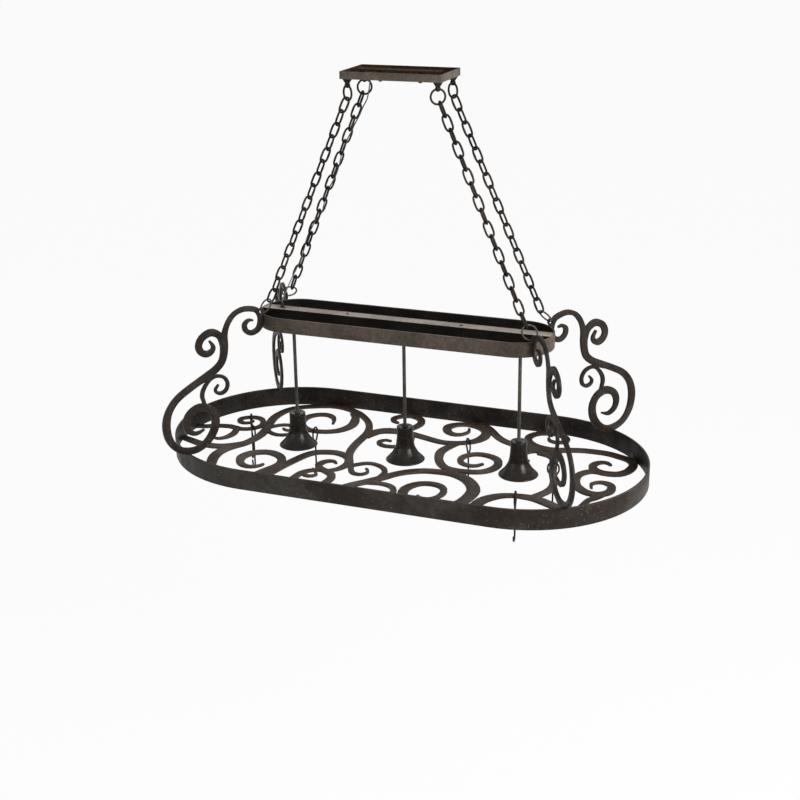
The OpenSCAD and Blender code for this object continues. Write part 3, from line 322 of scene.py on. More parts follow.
class Finish(Enum):
    """The finishes of the rack's pieces."""

    CHANNEL = WornMetal("channel_paint", (0.054, 0.042, 0.032), (0.074, 0.058, 0.045))
    # The _EDGE finishes are lighter than their faces: edge wear plus a painted highlight on the
    # edges.
    CHANNEL_EDGE = WornMetal(
        "rubbed_channel_edge", (0.095, 0.080, 0.066), (0.15, 0.128, 0.108), fleck_share=0.2
    )
    RIM = WornMetal(
        "blackened_rim", (0.0175, 0.012, 0.0092), (0.034, 0.030, 0.025), patch_scale=7.0
    )
    RIM_EDGE = WornMetal(
        "rubbed_rim_edge", (0.040, 0.033, 0.027), (0.085, 0.070, 0.058), fleck_share=0.2
    )
    RIM_INSIDE = WornMetal(
        "rim_inside",
        (0.008, 0.006, 0.005),
        (0.021, 0.017, 0.014),
        fleck_share=0.05,
        specular=0.1,
    )
    # Near black as painted shade: the channel band's inner faces, the light bar's faces and the
    # wire cover.
    INSIDE = WornMetal(
        "channel_inside",
        (0.0045, 0.0036, 0.0028),
        (0.008, 0.0065, 0.005),
        fleck_share=0.0,
        roughness=0.6,
        specular=0.05,
    )
    ARM = WornMetal(
        "forged_arm", (0.010, 0.0066, 0.0046), (0.022, 0.0165, 0.0128), fleck_share=0.05
    )
    ARM_EDGE = WornMetal(
        "rubbed_arm_edge", (0.026, 0.020, 0.016), (0.060, 0.050, 0.042), fleck_share=0.1
    )
    SHELF = WornMetal(
        "forged_shelf", (0.033, 0.0215, 0.0145), (0.054, 0.039, 0.029), fleck_share=0.05
    )
    SHELF_EDGE = WornMetal(
        "rubbed_shelf_edge", (0.050, 0.040, 0.033), (0.085, 0.070, 0.058), fleck_share=0.1
    )
    CANOPY = WornMetal(
        "canopy_paint", (0.076, 0.058, 0.045), (0.100, 0.080, 0.064), patch_scale=24.0
    )
    CANOPY_EDGE = WornMetal(
        "rubbed_canopy_edge", (0.105, 0.086, 0.071), (0.16, 0.135, 0.113), fleck_share=0.15
    )
    # Dark brown inside colour, darkened as painted shade for the shell's inside and for the bar,
    # studs and hanger nuts in it.
    CANOPY_INSIDE = WornMetal(
        "canopy_inside",
        (0.034, 0.021, 0.011),
        (0.042, 0.027, 0.015),
        fleck_share=0.02,
        roughness=0.7,
        specular=0.03,
    )
    CHAIN = WornMetal(
        "chain_steel",
        (0.012, 0.0085, 0.0064),
        (0.032, 0.022, 0.0165),
        fleck_share=0.03,
        roughness=0.42,
        specular=0.08,
    )
    RING = WornMetal(
        "rubbed_ring",
        (0.055, 0.048, 0.038),
        (0.105, 0.096, 0.080),
        fleck_share=0.08,
        roughness=0.4,
        metallic=0.3,
    )
    HOOK = WornMetal(
        "hook_steel",
        (0.008, 0.006, 0.0047),
        (0.020, 0.015, 0.012),
        fleck_share=0.03,
        roughness=0.4,
        specular=0.07,
    )
    BELL = WornMetal(
        "bell_paint",
        (0.0072, 0.0050, 0.0034),
        (0.015, 0.0112, 0.008),
        fleck_share=0.02,
        roughness=0.27,
        specular=0.19,
        relief=0.3,
    )
    ROD = WornMetal(
        "rod_paint",
        (0.030, 0.026, 0.021),
        (0.055, 0.049, 0.041),
        fleck_share=0.03,
        roughness=0.36,
        specular=0.25,
    )
    STRAP = WornMetal(
        "strap_paint",
        (0.30, 0.252, 0.208),
        (0.37, 0.315, 0.262),
        fleck=(0.2, 0.17, 0.14),
        fleck_share=0.05,
        relief=0.1,
    )
    PLATED = WornMetal(
        "plated_steel",
        (0.42, 0.40, 0.37),
        (0.50, 0.48, 0.45),
        fleck=(0.16, 0.13, 0.1),
        roughness=0.35,
        metallic=1.0,
        relief=0.12,
    )
    SOCKET = WornMetal(
        "socket_shell",
        (0.045, 0.045, 0.045),
        (0.055, 0.054, 0.052),
        fleck_share=0.0,
        relief=0.1,
    )
    RUBBER = WornMetal(
        "grommet_rubber",
        (0.014, 0.014, 0.014),
        (0.020, 0.019, 0.018),
        fleck_share=0.0,
        roughness=0.7,
        relief=0.2,
    )

    def material(self) -> bpy.types.Material:
        """The finish as a Blender material."""
        return self.value.build()


def frosted_glass() -> bpy.types.Material:
    """Opal glass of the globe bulbs, a little warmer in soft clouds."""
    material, graph, shader = surface("opal_glass", Roughness=0.22, Subsurface_Weight=0.15)
    place = graph.add("ShaderNodeTexCoord").outputs["Object"]
    cloud = graph.add("ShaderNodeTexNoise", {"Vector": place, "Scale": 40.0}).outputs[0]
    tone = graph.mix(cloud, (0.78, 0.75, 0.68, 1.0), (0.86, 0.84, 0.79, 1.0))
    graph.tree.links.new(tone, shader.inputs["Base Color"])
    return material


def cord_jacket() -> bpy.types.Material:
    """Smoked plastic of the supply cord, with a fine grain."""
    material, graph, shader = surface("cord_jacket", Roughness=0.42)
    place = graph.add("ShaderNodeTexCoord").outputs["Object"]
    grain = graph.add("ShaderNodeTexNoise", {"Vector": place, "Scale": 420.0}).outputs[0]
    tone = graph.mix(grain, (0.05, 0.045, 0.038, 1.0), (0.085, 0.078, 0.066, 1.0))
    bump = graph.add("ShaderNodeBump", {"Strength": 0.2, "Distance": 0.0003, "Height": grain})
    graph.tree.links.new(tone, shader.inputs["Base Color"])
    graph.tree.links.new(bump.outputs["Normal"], shader.inputs["Normal"])
    return material


# ---------------- surfaces


def unit(v: Array) -> Array:
    """Vectors scaled to length one, along the last axis."""
    return v / np.linalg.norm(v, axis=-1, keepdims=True)


def grid_faces(rows: int, columns: int, wrap_rows: bool, wrap_columns: bool) -> Array:
    """Quads between the points of a grid.

    Args:
        rows: points along the first parameter.
        columns: points along the second parameter.
        wrap_rows: whether the last row joins the first.
        wrap_columns: whether the last column joins the first.

    Returns:
        Point numbers of each quad, in an array of four columns.
    """
    i = np.arange(rows if wrap_rows else rows - 1)[:, None]
    j = np.arange(columns if wrap_columns else columns - 1)[None, :]
    a, b = i * columns, (i + 1) % rows * columns
    c = (j + 1) % columns
    return np.stack([a + j, a + c, b + c, b + j], axis=-1).reshape(-1, 4)


@dataclass
class Shape:
    """Points and faces of a surface, before they become a mesh."""

    points: Array
    faces: list[Array]

    def joined(self, other: "Shape") -> "Shape":
        """This shape and another one in a single list of points and faces."""
        shift = len(self.points)
        moved = [f + shift for f in other.faces]
        return Shape(np.vstack([self.points, other.points]), self.faces + moved)

    def piece(self, name: str, material: bpy.types.Material) -> bpy.types.Object:
        """Makes a smooth Blender object of the shape.

        Args:
            name: the object's name.
            material: its one material.

        Returns:
            The object, linked to the scene.
        """
        mesh = bpy.data.meshes.new(name)
        faces = [row for block in self.faces for row in block.tolist()]
        mesh.from_pydata(self.points.tolist(), [], faces)
        mesh.polygons.foreach_set("use_smooth", np.ones(len(faces), bool))
        mesh.update()
        mesh.materials.append(material)
        obj = bpy.data.objects.new(name, mesh)
        bpy.context.scene.collection.objects.link(obj)
        return obj


def tube(
    path: Array, radius: Array | float, side: Array, sides: int = 12, closed: bool = False
) -> Shape:
    """A round bar along a path.

    Point (i, j) is path[i] + r[i] (cos a[j] u[i] + sin a[j] v[i]), where u is across both
    the path and the given side, and v across the path and u. Open ends are closed by a fan
    on a point of their own.

    Args:
        path: points of the centre line.
        radius: radius at each point, or one for all.
        side: a direction that the path never follows.
        sides: points round the bar.
        closed: whether the path's end joins its start.

    Returns:
        The bar's surface.
    """
    if closed:
        along = np.roll(path, -1, axis=0) - np.roll(path, 1, axis=0)
    else:
        along = np.gradient(path, axis=0)
    along = unit(along)
    u = unit(np.cross(along, side))
    v = np.cross(along, u)
    r = np.broadcast_to(radius, len(path))[:, None, None]
    a = np.linspace(0, 2 * np.pi, sides, endpoint=False)[None, :, None]
    rings = path[:, None, :] + r * (np.cos(a) * u[:, None, :] + np.sin(a) * v[:, None, :])
    points = rings.reshape(-1, 3)
    faces = [grid_faces(len(path), sides, closed, True)]
    if not closed:
        count = len(points)
        points = np.vstack([points, path[:1], path[-1:]])
        j = np.arange(sides)
        k = (j + 1) % sides
        last = (len(path) - 1) * sides
        faces.append(np.stack([np.full(sides, count), k, j], axis=-1))
        faces.append(np.stack([np.full(sides, count + 1), last + j, last + k], axis=-1))
    return Shape(points, faces)


def lathe(profile: Array, centre: Array, sides: int = 48) -> Shape:
    """A solid turned about an upright axis from a closed profile.

    Point (i, j) is centre + (r[i] cos a[j], r[i] sin a[j], z[i]).

    Args:
        profile: rows of radius and height, round the section.
        centre: a point on the axis.
        sides: points round the axis.

    Returns:
        The turned surface.
    """
    a = np.linspace(0, 2 * np.pi, sides, endpoint=False)[None, :]
    r, z = profile[:, :1], profile[:, 1:]
    rings = np.stack([r * np.cos(a), r * np.sin(a), z + 0 * a], axis=-1)
    return Shape(rings.reshape(-1, 3) + centre, [grid_faces(len(profile), sides, True, True)])


def arc(
    centre: tuple[float, float], radius: float, start: float, end: float, steps: int
) -> Array:
    """Points on an arc in a plane, from one angle to another in degrees."""
    a = np.radians(np.linspace(start, end, steps))
    return np.stack([centre[0] + radius * np.cos(a), centre[1] + radius * np.sin(a)], axis=-1)


def through(knots: Array, steps: int) -> Array:
    """A smooth curve through knots.

    Each stretch is the Catmull-Rom cubic of the four knots round it.

    Args:
        knots: points that the curve passes.
        steps: points on each stretch.

    Returns:
        Points of the whole curve.
    """
    p = np.vstack([knots[:1], knots, knots[-1:]])
    t = np.linspace(0, 1, steps, endpoint=False)[None, :, None]
    a, b, c, d = (p[i : len(p) - 3 + i, None, :] for i in range(4))
    square = 2 * a - 5 * b + 4 * c - d
    cube = 3 * b - a - 3 * c + d
    curve = 0.5 * (2 * b + (c - a) * t + square * t**2 + cube * t**3)
    return np.vstack([curve.reshape(-1, knots.shape[1]), knots[-1:]])


def rounded(path: Array, spacing: float, reach: int) -> Array:
    """A path with evenly spread points and rounded corners.

    It is resampled by its length, and each point becomes the mean of its neighbours.

    Args:
        path: points of the sharp path.
        spacing: wanted distance between points.
        reach: neighbours on either side that the mean takes in.

    Returns:
        Points of the rounded path, with both ends kept.
    """
    steps = np.linalg.norm(np.diff(path, axis=0), axis=1)
    along = np.concatenate([[0], np.cumsum(steps)])
    count = int(along[-1] / spacing) + 1
    at = np.linspace(0, along[-1], count)
    even = np.stack([np.interp(at, along, path[:, k]) for k in range(3)], axis=-1)
    padded = np.pad(even, ((reach, reach), (0, 0)), mode="reflect", reflect_type="odd")
    window = np.ones(2 * reach + 1) / (2 * reach + 1)
    return np.stack([np.convolve(padded[:, k], window, "valid") for k in range(3)], axis=-1)


# ---------------- the frame


@dataclass
class Rack:
    """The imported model, with short ways to its nodes, joints and solids."""

    frame: dict

    def joint_at(self, name: str) -> Array:
        """The point of a joint at rest."""
        return np.array(next(j["pos_m"] for j in self.frame["joints"] if j["name"] == name))

    def joint_axis(self, name: str) -> Array:
        """The axis of a joint at rest."""
        return np.array(next(j["axis"] for j in self.frame["joints"] if j["name"] == name))

    def middle(self, node: str) -> Array:
        """The middle of a node's box."""
        low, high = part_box(node)
        return np.array((low + high) / 2)

    def stand_for(self, piece: bpy.types.Object, node: str) -> bpy.types.Object:
        """Lets a piece replace a node and ride on its body."""
        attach(piece, self.frame["nodes"][node]["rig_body"])
        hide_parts(node)
        LOG.info("%s stands for %s", piece.name, node)
        return piece

    def paint(self, finish: Finish, *nodes: str) -> None:
        """Gives CAD nodes that keep their own shape a finish."""
        for node in nodes:
            obj = self.frame["nodes"][node]
            obj.data.materials.clear()
            obj.data.materials.append(finish.material())
            LOG.info("%s painted %s", node, finish.value.name)

    def softened(
        self, node: str, width: float, face: Finish, edge: Finish, crease: float = 35.0
    ) -> bpy.types.Object:
        """Replaces a node by a copy with rounded edges in a finish of their own.

        The copy's loose triangles are merged, flat regions become single faces, and every
        edge sharper than the crease gets a narrow rounded strip in the edge's finish; where
        that finish is lighter, it stands for wear and for a painted highlight.

        Args:
            node: the CAD node.
            width: width of the rounded strip.
            face: finish of the faces.
            edge: finish of the strips.
            crease: smallest angle between faces that is an edge, in degrees.

        Returns:
            The new piece.
        """
        shape = bmesh.new()
        shape.from_mesh(self.frame["nodes"][node].data)
        bmesh.ops.remove_doubles(shape, verts=shape.verts, dist=MERGE_DISTANCE)
        flat = math.radians(FLAT_DEGREES)
        bmesh.ops.dissolve_limit(shape, angle_limit=flat, verts=shape.verts, edges=shape.edges)
        mesh = bpy.data.meshes.new(f"{node}_forged")
        shape.to_mesh(mesh)
        shape.free()
        mesh.materials.clear()
        mesh.polygons.foreach_set("use_smooth", np.ones(len(mesh.polygons), bool))
        mesh.polygons.foreach_set("material_index", np.zeros(len(mesh.polygons), np.int32))
        mesh.materials.append(face.material())
        mesh.materials.append(edge.material())
        piece = bpy.data.objects.new(f"{node}_forged", mesh)
        bpy.context.scene.collection.objects.link(piece)
        # The strips take the edge finish; a lighter one is wear plus a painted highlight.
        bevel = piece.modifiers.new("worn_edges", "BEVEL")
        bevel.width = width
        bevel.segments = 2
        bevel.limit_method = "ANGLE"
        bevel.angle_limit = math.radians(crease)
        bevel.material = 1
        bevel.harden_normals = True
        bevel.use_clamp_overlap = True
        return self.stand_for(piece, node)


def face_arrays(piece: bpy.types.Object) -> tuple[Array, Array]:
    """The centre and the normal of every face of a piece."""
    mesh = piece.data
    centres, normals = np.empty((2, len(mesh.polygons) * 3))
    mesh.polygons.foreach_get("center", centres)
    mesh.polygons.foreach_get("normal", normals)
    return centres.reshape(-1, 3), normals.reshape(-1, 3)


def refinish(piece: bpy.types.Object, chosen: Array, finish: Finish) -> None:
    """Gives the chosen faces of a piece a finish of their own.

    Args:
        piece: the piece.
        chosen: whether each of its faces is chosen.
        finish: the finish of those faces.
    """
    mesh = piece.data
    mesh.materials.append(finish.material())
    slots = np.zeros(len(chosen), np.int32)
    mesh.polygons.foreach_get("material_index", slots)
    slots[chosen] = len(mesh.materials) - 1
    mesh.polygons.foreach_set("material_index", slots)


def inner_faces(piece: bpy.types.Object, node: str) -> Array:
    """Whether each face of an oval band lies on its inner side.

    It does where its normal points towards the middle line of the oval. The nearest point
    of that line to a face at (x, y) is (clip(x, -half, half), 0).

    Args:
        piece: the band.
        node: its CAD node, whose box gives half the line's length.

    Returns:
        One truth value per face.
    """
    centres, normals = face_arrays(piece)
    low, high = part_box(node)
    half = (high.x - low.x - high.y + low.y) / 2
    outward = centres[:, :2].copy()
    outward[:, 0] -= np.clip(outward[:, 0], -half, half)
    return (outward * normals[:, :2]).sum(axis=1) < -0.5 * np.linalg.norm(outward, axis=1)


class Corner(Enum):
    """The four corners of the rack, with the signs of X and Y there."""

    fl = (-1, -1)
    fr = (1, -1)
    bl = (-1, 1)
    br = (1, 1)

    def mirrored(self, point: Array) -> Array:
        """A point of the front left corner, moved to this one."""
        sx, sy = self.value
        return point * np.array([-sx, -sy, 1])


# ---------------- sub-assemblies


@dataclass
class Canopy:
    """The ceiling canopy with its bar, studs, cap nuts and loop hangers.

    Attributes:
        edge: width of the shell's rounded edges, lighter for wear and as a painted highlight.
        fillet: the same on nuts and hangers.
        wall: thickness of the shell.
        turned: smallest angle that is an edge on nuts and hangers, in degrees.
    """

    rack: Rack
    edge: float = 0.7 * MM
    fillet: float = 0.3 * MM
    wall: float = 1.6 * MM
    turned: float = 50.0

    def build(self) -> None:
        """Dresses every piece of the canopy."""
        self.shell()
        # Bar, studs and hanger nuts take the inside's dark brown painted shade.
        self.rack.paint(Finish.CANOPY_INSIDE, "ceiling_bar", "canopy_studs", "hanger_nuts")
        for node in ("cap_nuts", "loop_hangers"):
            self.rack.softened(node, self.fillet, Finish.CHAIN, Finish.CHAIN, self.turned)
        self.rack.paint(Finish.RUBBER, "cord_grommet")

    def shell(self) -> None:
        """The shell, its inner faces dark brown and darkened as painted shade."""
        piece = self.rack.softened("canopy_shell", self.edge, Finish.CANOPY, Finish.CANOPY_EDGE)
        low, high = (np.array(c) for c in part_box("canopy_shell"))
        centres, _ = face_arrays(piece)
        slack = self.wall / 2
        inside = ((centres > low + slack) & (centres < high - slack)).all(axis=1)
        refinish(piece, inside, Finish.CANOPY_INSIDE)


@dataclass
class Chains:
    """The chains, the rings at their tops and the rings that hook the arms.

    Attributes:
        wire: diameter of a link's wire.
        inner_width: inner width of a link.
        clearance: gap between two links where they hang in each other.
        links: links of a chain.
        squareness: exponent of a link's superellipse.
        weld_swell: how much thicker the wire is at the weld.
        link_weld: half length of that swelling on a link, in radians of its outline.
        top_ring, top_wire: outer and wire diameter of the rings at the top.
        foot_ring, foot_wire: the same of the rings that hook the arms.
        ring_weld: place and half length of the swelling on a ring, in radians.
        link_mesh, ring_mesh: points along and round the wire of a link and of a ring.
        arm_turn: angle of the arms' planes from the long side, in degrees.
    """

    rack: Rack
    wire: float = 5.0 * MM
    inner_width: float = 12.8 * MM
    clearance: float = 0.2 * MM
    links: int = 17
    squareness: float = 3.0
    weld_swell: float = 0.13
    link_weld: float = 0.16
    top_ring: float = 38 * MM
    top_wire: float = 4.8 * MM
    foot_ring: float = 40 * MM
    foot_wire: float = 4.0 * MM
    ring_weld: tuple[float, float] = (2.6, 0.07)
    link_mesh: tuple[int, int] = (36, 10)
    ring_mesh: tuple[int, int] = (56, 14)
    arm_turn: float = 55.0

    def build(self) -> None:
        """Makes all four chains and their rings."""
        for corner in Corner:
            self.chain(corner)
            self.ring(corner, "top_ring", self.top_ring, self.top_wire, Finish.CHAIN)
            self.ring(corner, "foot_ring", self.foot_ring, self.foot_wire, Finish.RING)

    def ends(self, corner: Corner) -> tuple[Array, Array]:
        """Where a chain meets its top ring and its foot ring."""
        top = self.rack.joint_at("swing_sideways")
        foot = self.rack.joint_at("foot_ring_fl_turn")
        return corner.mirrored(top), corner.mirrored(foot)

    def across(self, corner: Corner) -> Array:
        """The level direction in which a corner's rings lie, across its arm."""
        sx, sy = corner.value
        turn = math.radians(self.arm_turn)
        return np.array([-sy * math.sin(turn), sx * math.cos(turn), 0.0])

    def link_length(self) -> float:
        """Inner length of one link, so that all of them fill a chain's run."""
        top, foot = self.ends(Corner.fl)
        run = float(np.linalg.norm(foot - top))
        return (run + (self.links - 1) * self.clearance) / self.links

    def directions(self, corner: Corner) -> Array:
        """Three directions of a chain: down it, level across its arm, and square to both."""
        top, foot = self.ends(corner)
        down = unit(foot - top)
        level = self.across(corner)
        wide = unit(level - level.dot(down) * down)
        return np.stack([down, wide, np.cross(-down, wide)])

    def chain(self, corner: Corner) -> None:
        """One chain, each link turned a quarter from the last.

        A link's centre line is a superellipse, x = b |cos t|^(2/n) and z = a |sin t|^(2/n)
        with their signs, and its wire swells a little at the weld on one side.
        """
        top, _ = self.ends(corner)
        down, wide, deep = self.directions(corner)
        length = self.link_length()
        half = np.array([self.inner_width + self.wire, length + self.wire]) / 2
        points, sides = self.link_mesh
        t = np.linspace(0, 2 * np.pi, points, endpoint=False)
        power = 2 / self.squareness
        flat = np.stack([np.cos(t), np.sin(t)], axis=-1)
        flat = half * np.sign(flat) * np.abs(flat) ** power
        swell = np.exp(-((((t + np.pi) % (2 * np.pi) - np.pi) / self.link_weld) ** 2))
        radius = self.wire / 2 * (1 + self.weld_swell * swell)
        shape = None
        for i in range(self.links):
            middle = top + down * (i * (length - self.clearance) + length / 2)
            spread, normal = (deep, wide) if i % 2 == 0 else (wide, deep)
            path = middle + flat[:, :1] * spread - flat[:, 1:] * down
            link = tube(path, radius, normal, sides, closed=True)
            shape = link if shape is None else shape.joined(link)
        piece = shape.piece(f"links_{corner.name}", Finish.CHAIN.material())
        self.rack.stand_for(piece, f"chain_{corner.name}")

    def ring(
        self, corner: Corner, node: str, outer: float, wire: float, finish: Finish
    ) -> None:
        """A welded ring round its node's middle.

        It lies in the plane of the level direction across the arm and of a line, which is
        upright for a top ring and goes to the chain for a foot ring. Its wire swells at the
        weld.

        Args:
            corner: the ring's corner.
            node: the first part of its node's name.
            outer: its outer diameter.
            wire: diameter of its wire.
            finish: its finish.
        """
        name = f"{node}_{corner.name}"
        middle = self.rack.middle(name)
        line = -UP if node == "top_ring" else unit(self.ends(corner)[1] - middle)
        level = self.across(corner)
        wide = unit(level - level.dot(line) * line)
        points, sides = self.ring_mesh
        t = np.linspace(0, 2 * np.pi, points, endpoint=False)
        reach = outer / 2 - wire / 2
        path = middle + reach * (np.cos(t)[:, None] * wide + np.sin(t)[:, None] * line)
        place, half = self.ring_weld
        swell = np.exp(-(((t - place) / half) ** 2))
        radius = wire / 2 * (1 + self.weld_swell / 2 * swell)
        shape = tube(path, radius, np.cross(wide, line), sides, closed=True)
        self.rack.stand_for(shape.piece(f"{name}_welded", finish.material()), name)


@dataclass
class SupplyCord:
    """The cord that weaves down the back left chain to the light bar.

    Attributes:
        chains: the chains that it follows.
        diameter: the cord's diameter.
        gap: room between the cord and a link's wire.
        wave: how far it swings before and behind the chain, in millimetres.
        swap_wave: the same where it changes sides.
        first, last: the first and the last link that it weaves through.
        swap: the link in which it changes sides.
        steps: points between two knots.
        start: where it leaves the canopy.
        drop: the knot below that.
        above: knots over the weave: millimetres down, across and before the chain.
        below: knots under the weave, likewise.
        landing: knots before the gland, in millimetres from its end.
        end: where it enters the gland.
    """

    rack: Rack
    chains: Chains
    diameter: float = 3.0 * MM
    gap: float = 0.4 * MM
    wave: float = 8.0
    swap_wave: float = 4.2
    first: int = 2
    last: int = 13
    swap: int = 10
    steps: int = 6
    start: Point = (-0.088, 0.036, -0.019)
    drop: Point = (-0.088, 0.036, -0.034)
    above: tuple[Point, ...] = ((6, -11.5, 9), (30, -10.5, 5), (52, -9.5, 4.8), (65, -7, 6.6))
    below: tuple[Point, ...] = ((447, 6.5, 9), (478, 9, 8))
    landing: tuple[Point, ...] = ((7, 28, 46), (2, 11, 23), (0, 1, 9))
    end: Point = (-0.318, 0.0, -0.577)

    def woven(self) -> Array:
        """Millimetres down, across and before the chain at every half link of the weave.

        At link i the cord is wave sin(90 (i + 1)) before the chain. Next to the swap it
        keeps closer, and there it crosses from one side of the links to the other.
        """
        i = np.arange(2 * self.first, 2 * self.last + 1) / 2
        off = i - self.swap
        near = np.clip(1 - np.abs(off), 0, None)
        length = self.chains.link_length()
        down = (i * (length - self.chains.clearance) + length / 2) / MM
        side = (self.chains.inner_width / 2 - self.diameter / 2 - self.gap) / MM
        wide = side * np.where(np.abs(off) < 0.5, np.sin(np.pi * off), np.sign(off))
        deep = (near * (self.wave - self.swap_wave) - self.wave) * np.sin(np.pi / 2 * (i + 1))
        return np.stack([down, wide, deep], axis=-1)

    def route(self) -> Array:
        """Points of the cord's centre line, from the canopy along the chain to the gland."""
        top, _ = self.chains.ends(Corner.bl)
        offsets = np.vstack([self.above, self.woven(), self.below])
        along = top + offsets * MM @ self.chains.directions(Corner.bl)
        landing = self.end + np.array(self.landing) * MM
        return through(np.vstack([self.start, self.drop, along, landing, self.end]), self.steps)

    def build(self) -> None:
        path = self.route()
        shape = tube(path, self.diameter / 2, np.array([0.0, 1.0, 0.2]), 10)
        piece = shape.piece("supply_cord_jacket", cord_jacket())
        self.rack.stand_for(piece, "supply_cord")


@dataclass
class LightChannel:
    """The band, the light bar with its cover and screws, and the cord's gland."""

    rack: Rack
    edge: float = 0.7 * MM

    def build(self) -> None:
        """Dresses every piece of the channel."""
        band = self.rack.softened("channel_band", self.edge, Finish.CHANNEL, Finish.CHANNEL_EDGE)
        # The band's inner faces are painted near black as painted shade.
        refinish(band, inner_faces(band, "channel_band"), Finish.INSIDE)
        # The bar's faces are near black as painted shade; its edge strips and its top take the
        # pale strap colour.
        bar = self.rack.softened("light_bar", self.edge / 2, Finish.INSIDE, Finish.STRAP)
        centres, normals = face_arrays(bar)
        high = centres[:, 2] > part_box("light_bar")[1].z - self.edge
        level = normals[:, 2] > 0.9
        refinish(bar, high & level, Finish.STRAP)
        # The wire cover is near black as painted shade too.
        self.rack.paint(Finish.INSIDE, "wire_cover")
        self.rack.paint(Finish.PLATED, "rod_nuts")
        self.rack.paint(Finish.ROD, "cover_screws")
        self.rack.paint(Finish.RUBBER, "cord_gland")


@dataclass
class Lamps:
    """Three rods, each with a bell, its lock nut, a socket and a globe bulb.

    Attributes:
        names: the lamps' names.
        wall: thickness of a bell.
        bore: radius of the hole in its top.
        shoulder: radius of its shoulder.
        lip: radius of its rolled lip.
        bead: depth, half width and height of the bead below the shoulder.
        curve: radius and depth along a bell's outside, in millimetres.
        bulb: radius of a bulb.
        bulb_neck: radius of its neck.
        pole: radius of the tiny hole that a lathed end keeps.
    """

    rack: Rack
    names: tuple[str, ...] = ("left", "middle", "right")
    wall: float = 1.5 * MM
    bore: float = 4.4 * MM
    shoulder: float = 2.2 * MM
    lip: float = 1.3 * MM
    bead: Point = (7 * MM, 1.1 * MM, 0.5 * MM)
    curve: tuple[tuple[float, float], ...] = (
        (20.3, 0.0),
        (20.3, 25.0),
        (21.3, 36.0),
        (22.9, 48.0),
        (25.2, 56.0),
        (30.5, 66.0),
        (37.0, 75.0),
        (49.0, 87.0),
    )
    bulb: float = 20 * MM
    bulb_neck: float = 11 * MM
    pole: float = 0.2 * MM

    def build(self) -> None:
        """Dresses all three lamps."""
        glass = frosted_glass()
        for name in self.names:
            self.bell(name)
            self.rack.paint(Finish.SOCKET, f"lamp_socket_{name}")
            self.globe(name, glass)
            self.rack.paint(Finish.ROD, f"lamp_rod_{name}")
        self.rack.paint(Finish.RING, "bell_nuts")

    def axis(self, node: str) -> Array:
        """The point of a node's upright axis at its top."""
        low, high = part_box(node)
        return np.array([(low.x + high.x) / 2, (low.y + high.y) / 2, high.z])

    def bell(self, name: str) -> None:
        """A spun bell: rounded shoulder, shallow bead, flare and rolled lip."""
        outside = through(np.array(self.curve), 7) * MM * np.array([1, -1])
        depth = -outside[:, 1]
        place, half, height = self.bead
        bead = height * np.exp(-(((depth - place) / half) ** 2))
        beaded = outside + np.stack([bead, 0 * bead], axis=-1)
        wall = beaded[depth > self.shoulder]
        neck = self.curve[0][0] * MM
        top = arc((neck - self.shoulder, -self.shoulder), self.shoulder, 90, 5, 6)
        mouth = wall[-1]
        lip = arc((mouth[0] - self.lip, mouth[1] + self.lip), self.lip, -60, -200, 7)
        inside = outside[depth > self.wall][:-1][::-1] - np.array([self.wall, 0.0])
        crown = [[neck - self.wall - self.shoulder, -self.wall], [self.bore, -self.wall]]
        profile = np.vstack([[[self.bore, 0.0]], top, wall[:-2], lip, inside, crown])
        node = f"lamp_bell_{name}"
        shape = lathe(profile, self.axis(node), 72)
        piece = shape.piece(f"spun_bell_{name}", Finish.BELL.material())
        self.rack.stand_for(piece, node)

    def globe(self, name: str, glass: bpy.types.Material) -> None:
        """A globe bulb: a sphere that runs into a straight neck."""
        node = f"bulb_{name}"
        low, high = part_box(node)
        centre = self.axis(node)
        centre[2] = low.z + self.bulb
        edge = math.degrees(math.acos(self.bulb_neck / self.bulb))
        ball = arc((0.0, 0.0), self.bulb, -89.5, edge, 40)
        top = high.z - centre[2]
        shape = lathe(np.vstack([ball, [[self.bulb_neck, top], [self.pole, top]]]), centre)
        self.rack.stand_for(shape.piece(f"globe_{name}", glass), node)


@dataclass
class Rim:
    """The rim band, its splice plate with rivets, and the scroll shelf."""

    rack: Rack
    edge: float = 0.8 * MM

    def build(self) -> None:
        """Dresses the rim and the shelf."""
        band = self.rack.softened("rim_band", self.edge, Finish.RIM, Finish.RIM_EDGE)
        refinish(band, inner_faces(band, "rim_band"), Finish.RIM_INSIDE)
        self.rack.softened("rim_splice", self.edge / 2, Finish.RIM_INSIDE, Finish.RIM_EDGE)
        self.rack.softened("scroll_shelf", self.edge, Finish.SHELF, Finish.SHELF_EDGE)


@dataclass
class Arms:
    """The four S-scroll arms between the rim and the light channel."""

    rack: Rack
    edge: float = 0.9 * MM

    def build(self) -> None:
        """Dresses all four arms."""
        for corner in Corner:
            self.rack.softened(f"arm_{corner.name}", self.edge, Finish.ARM, Finish.ARM_EDGE)


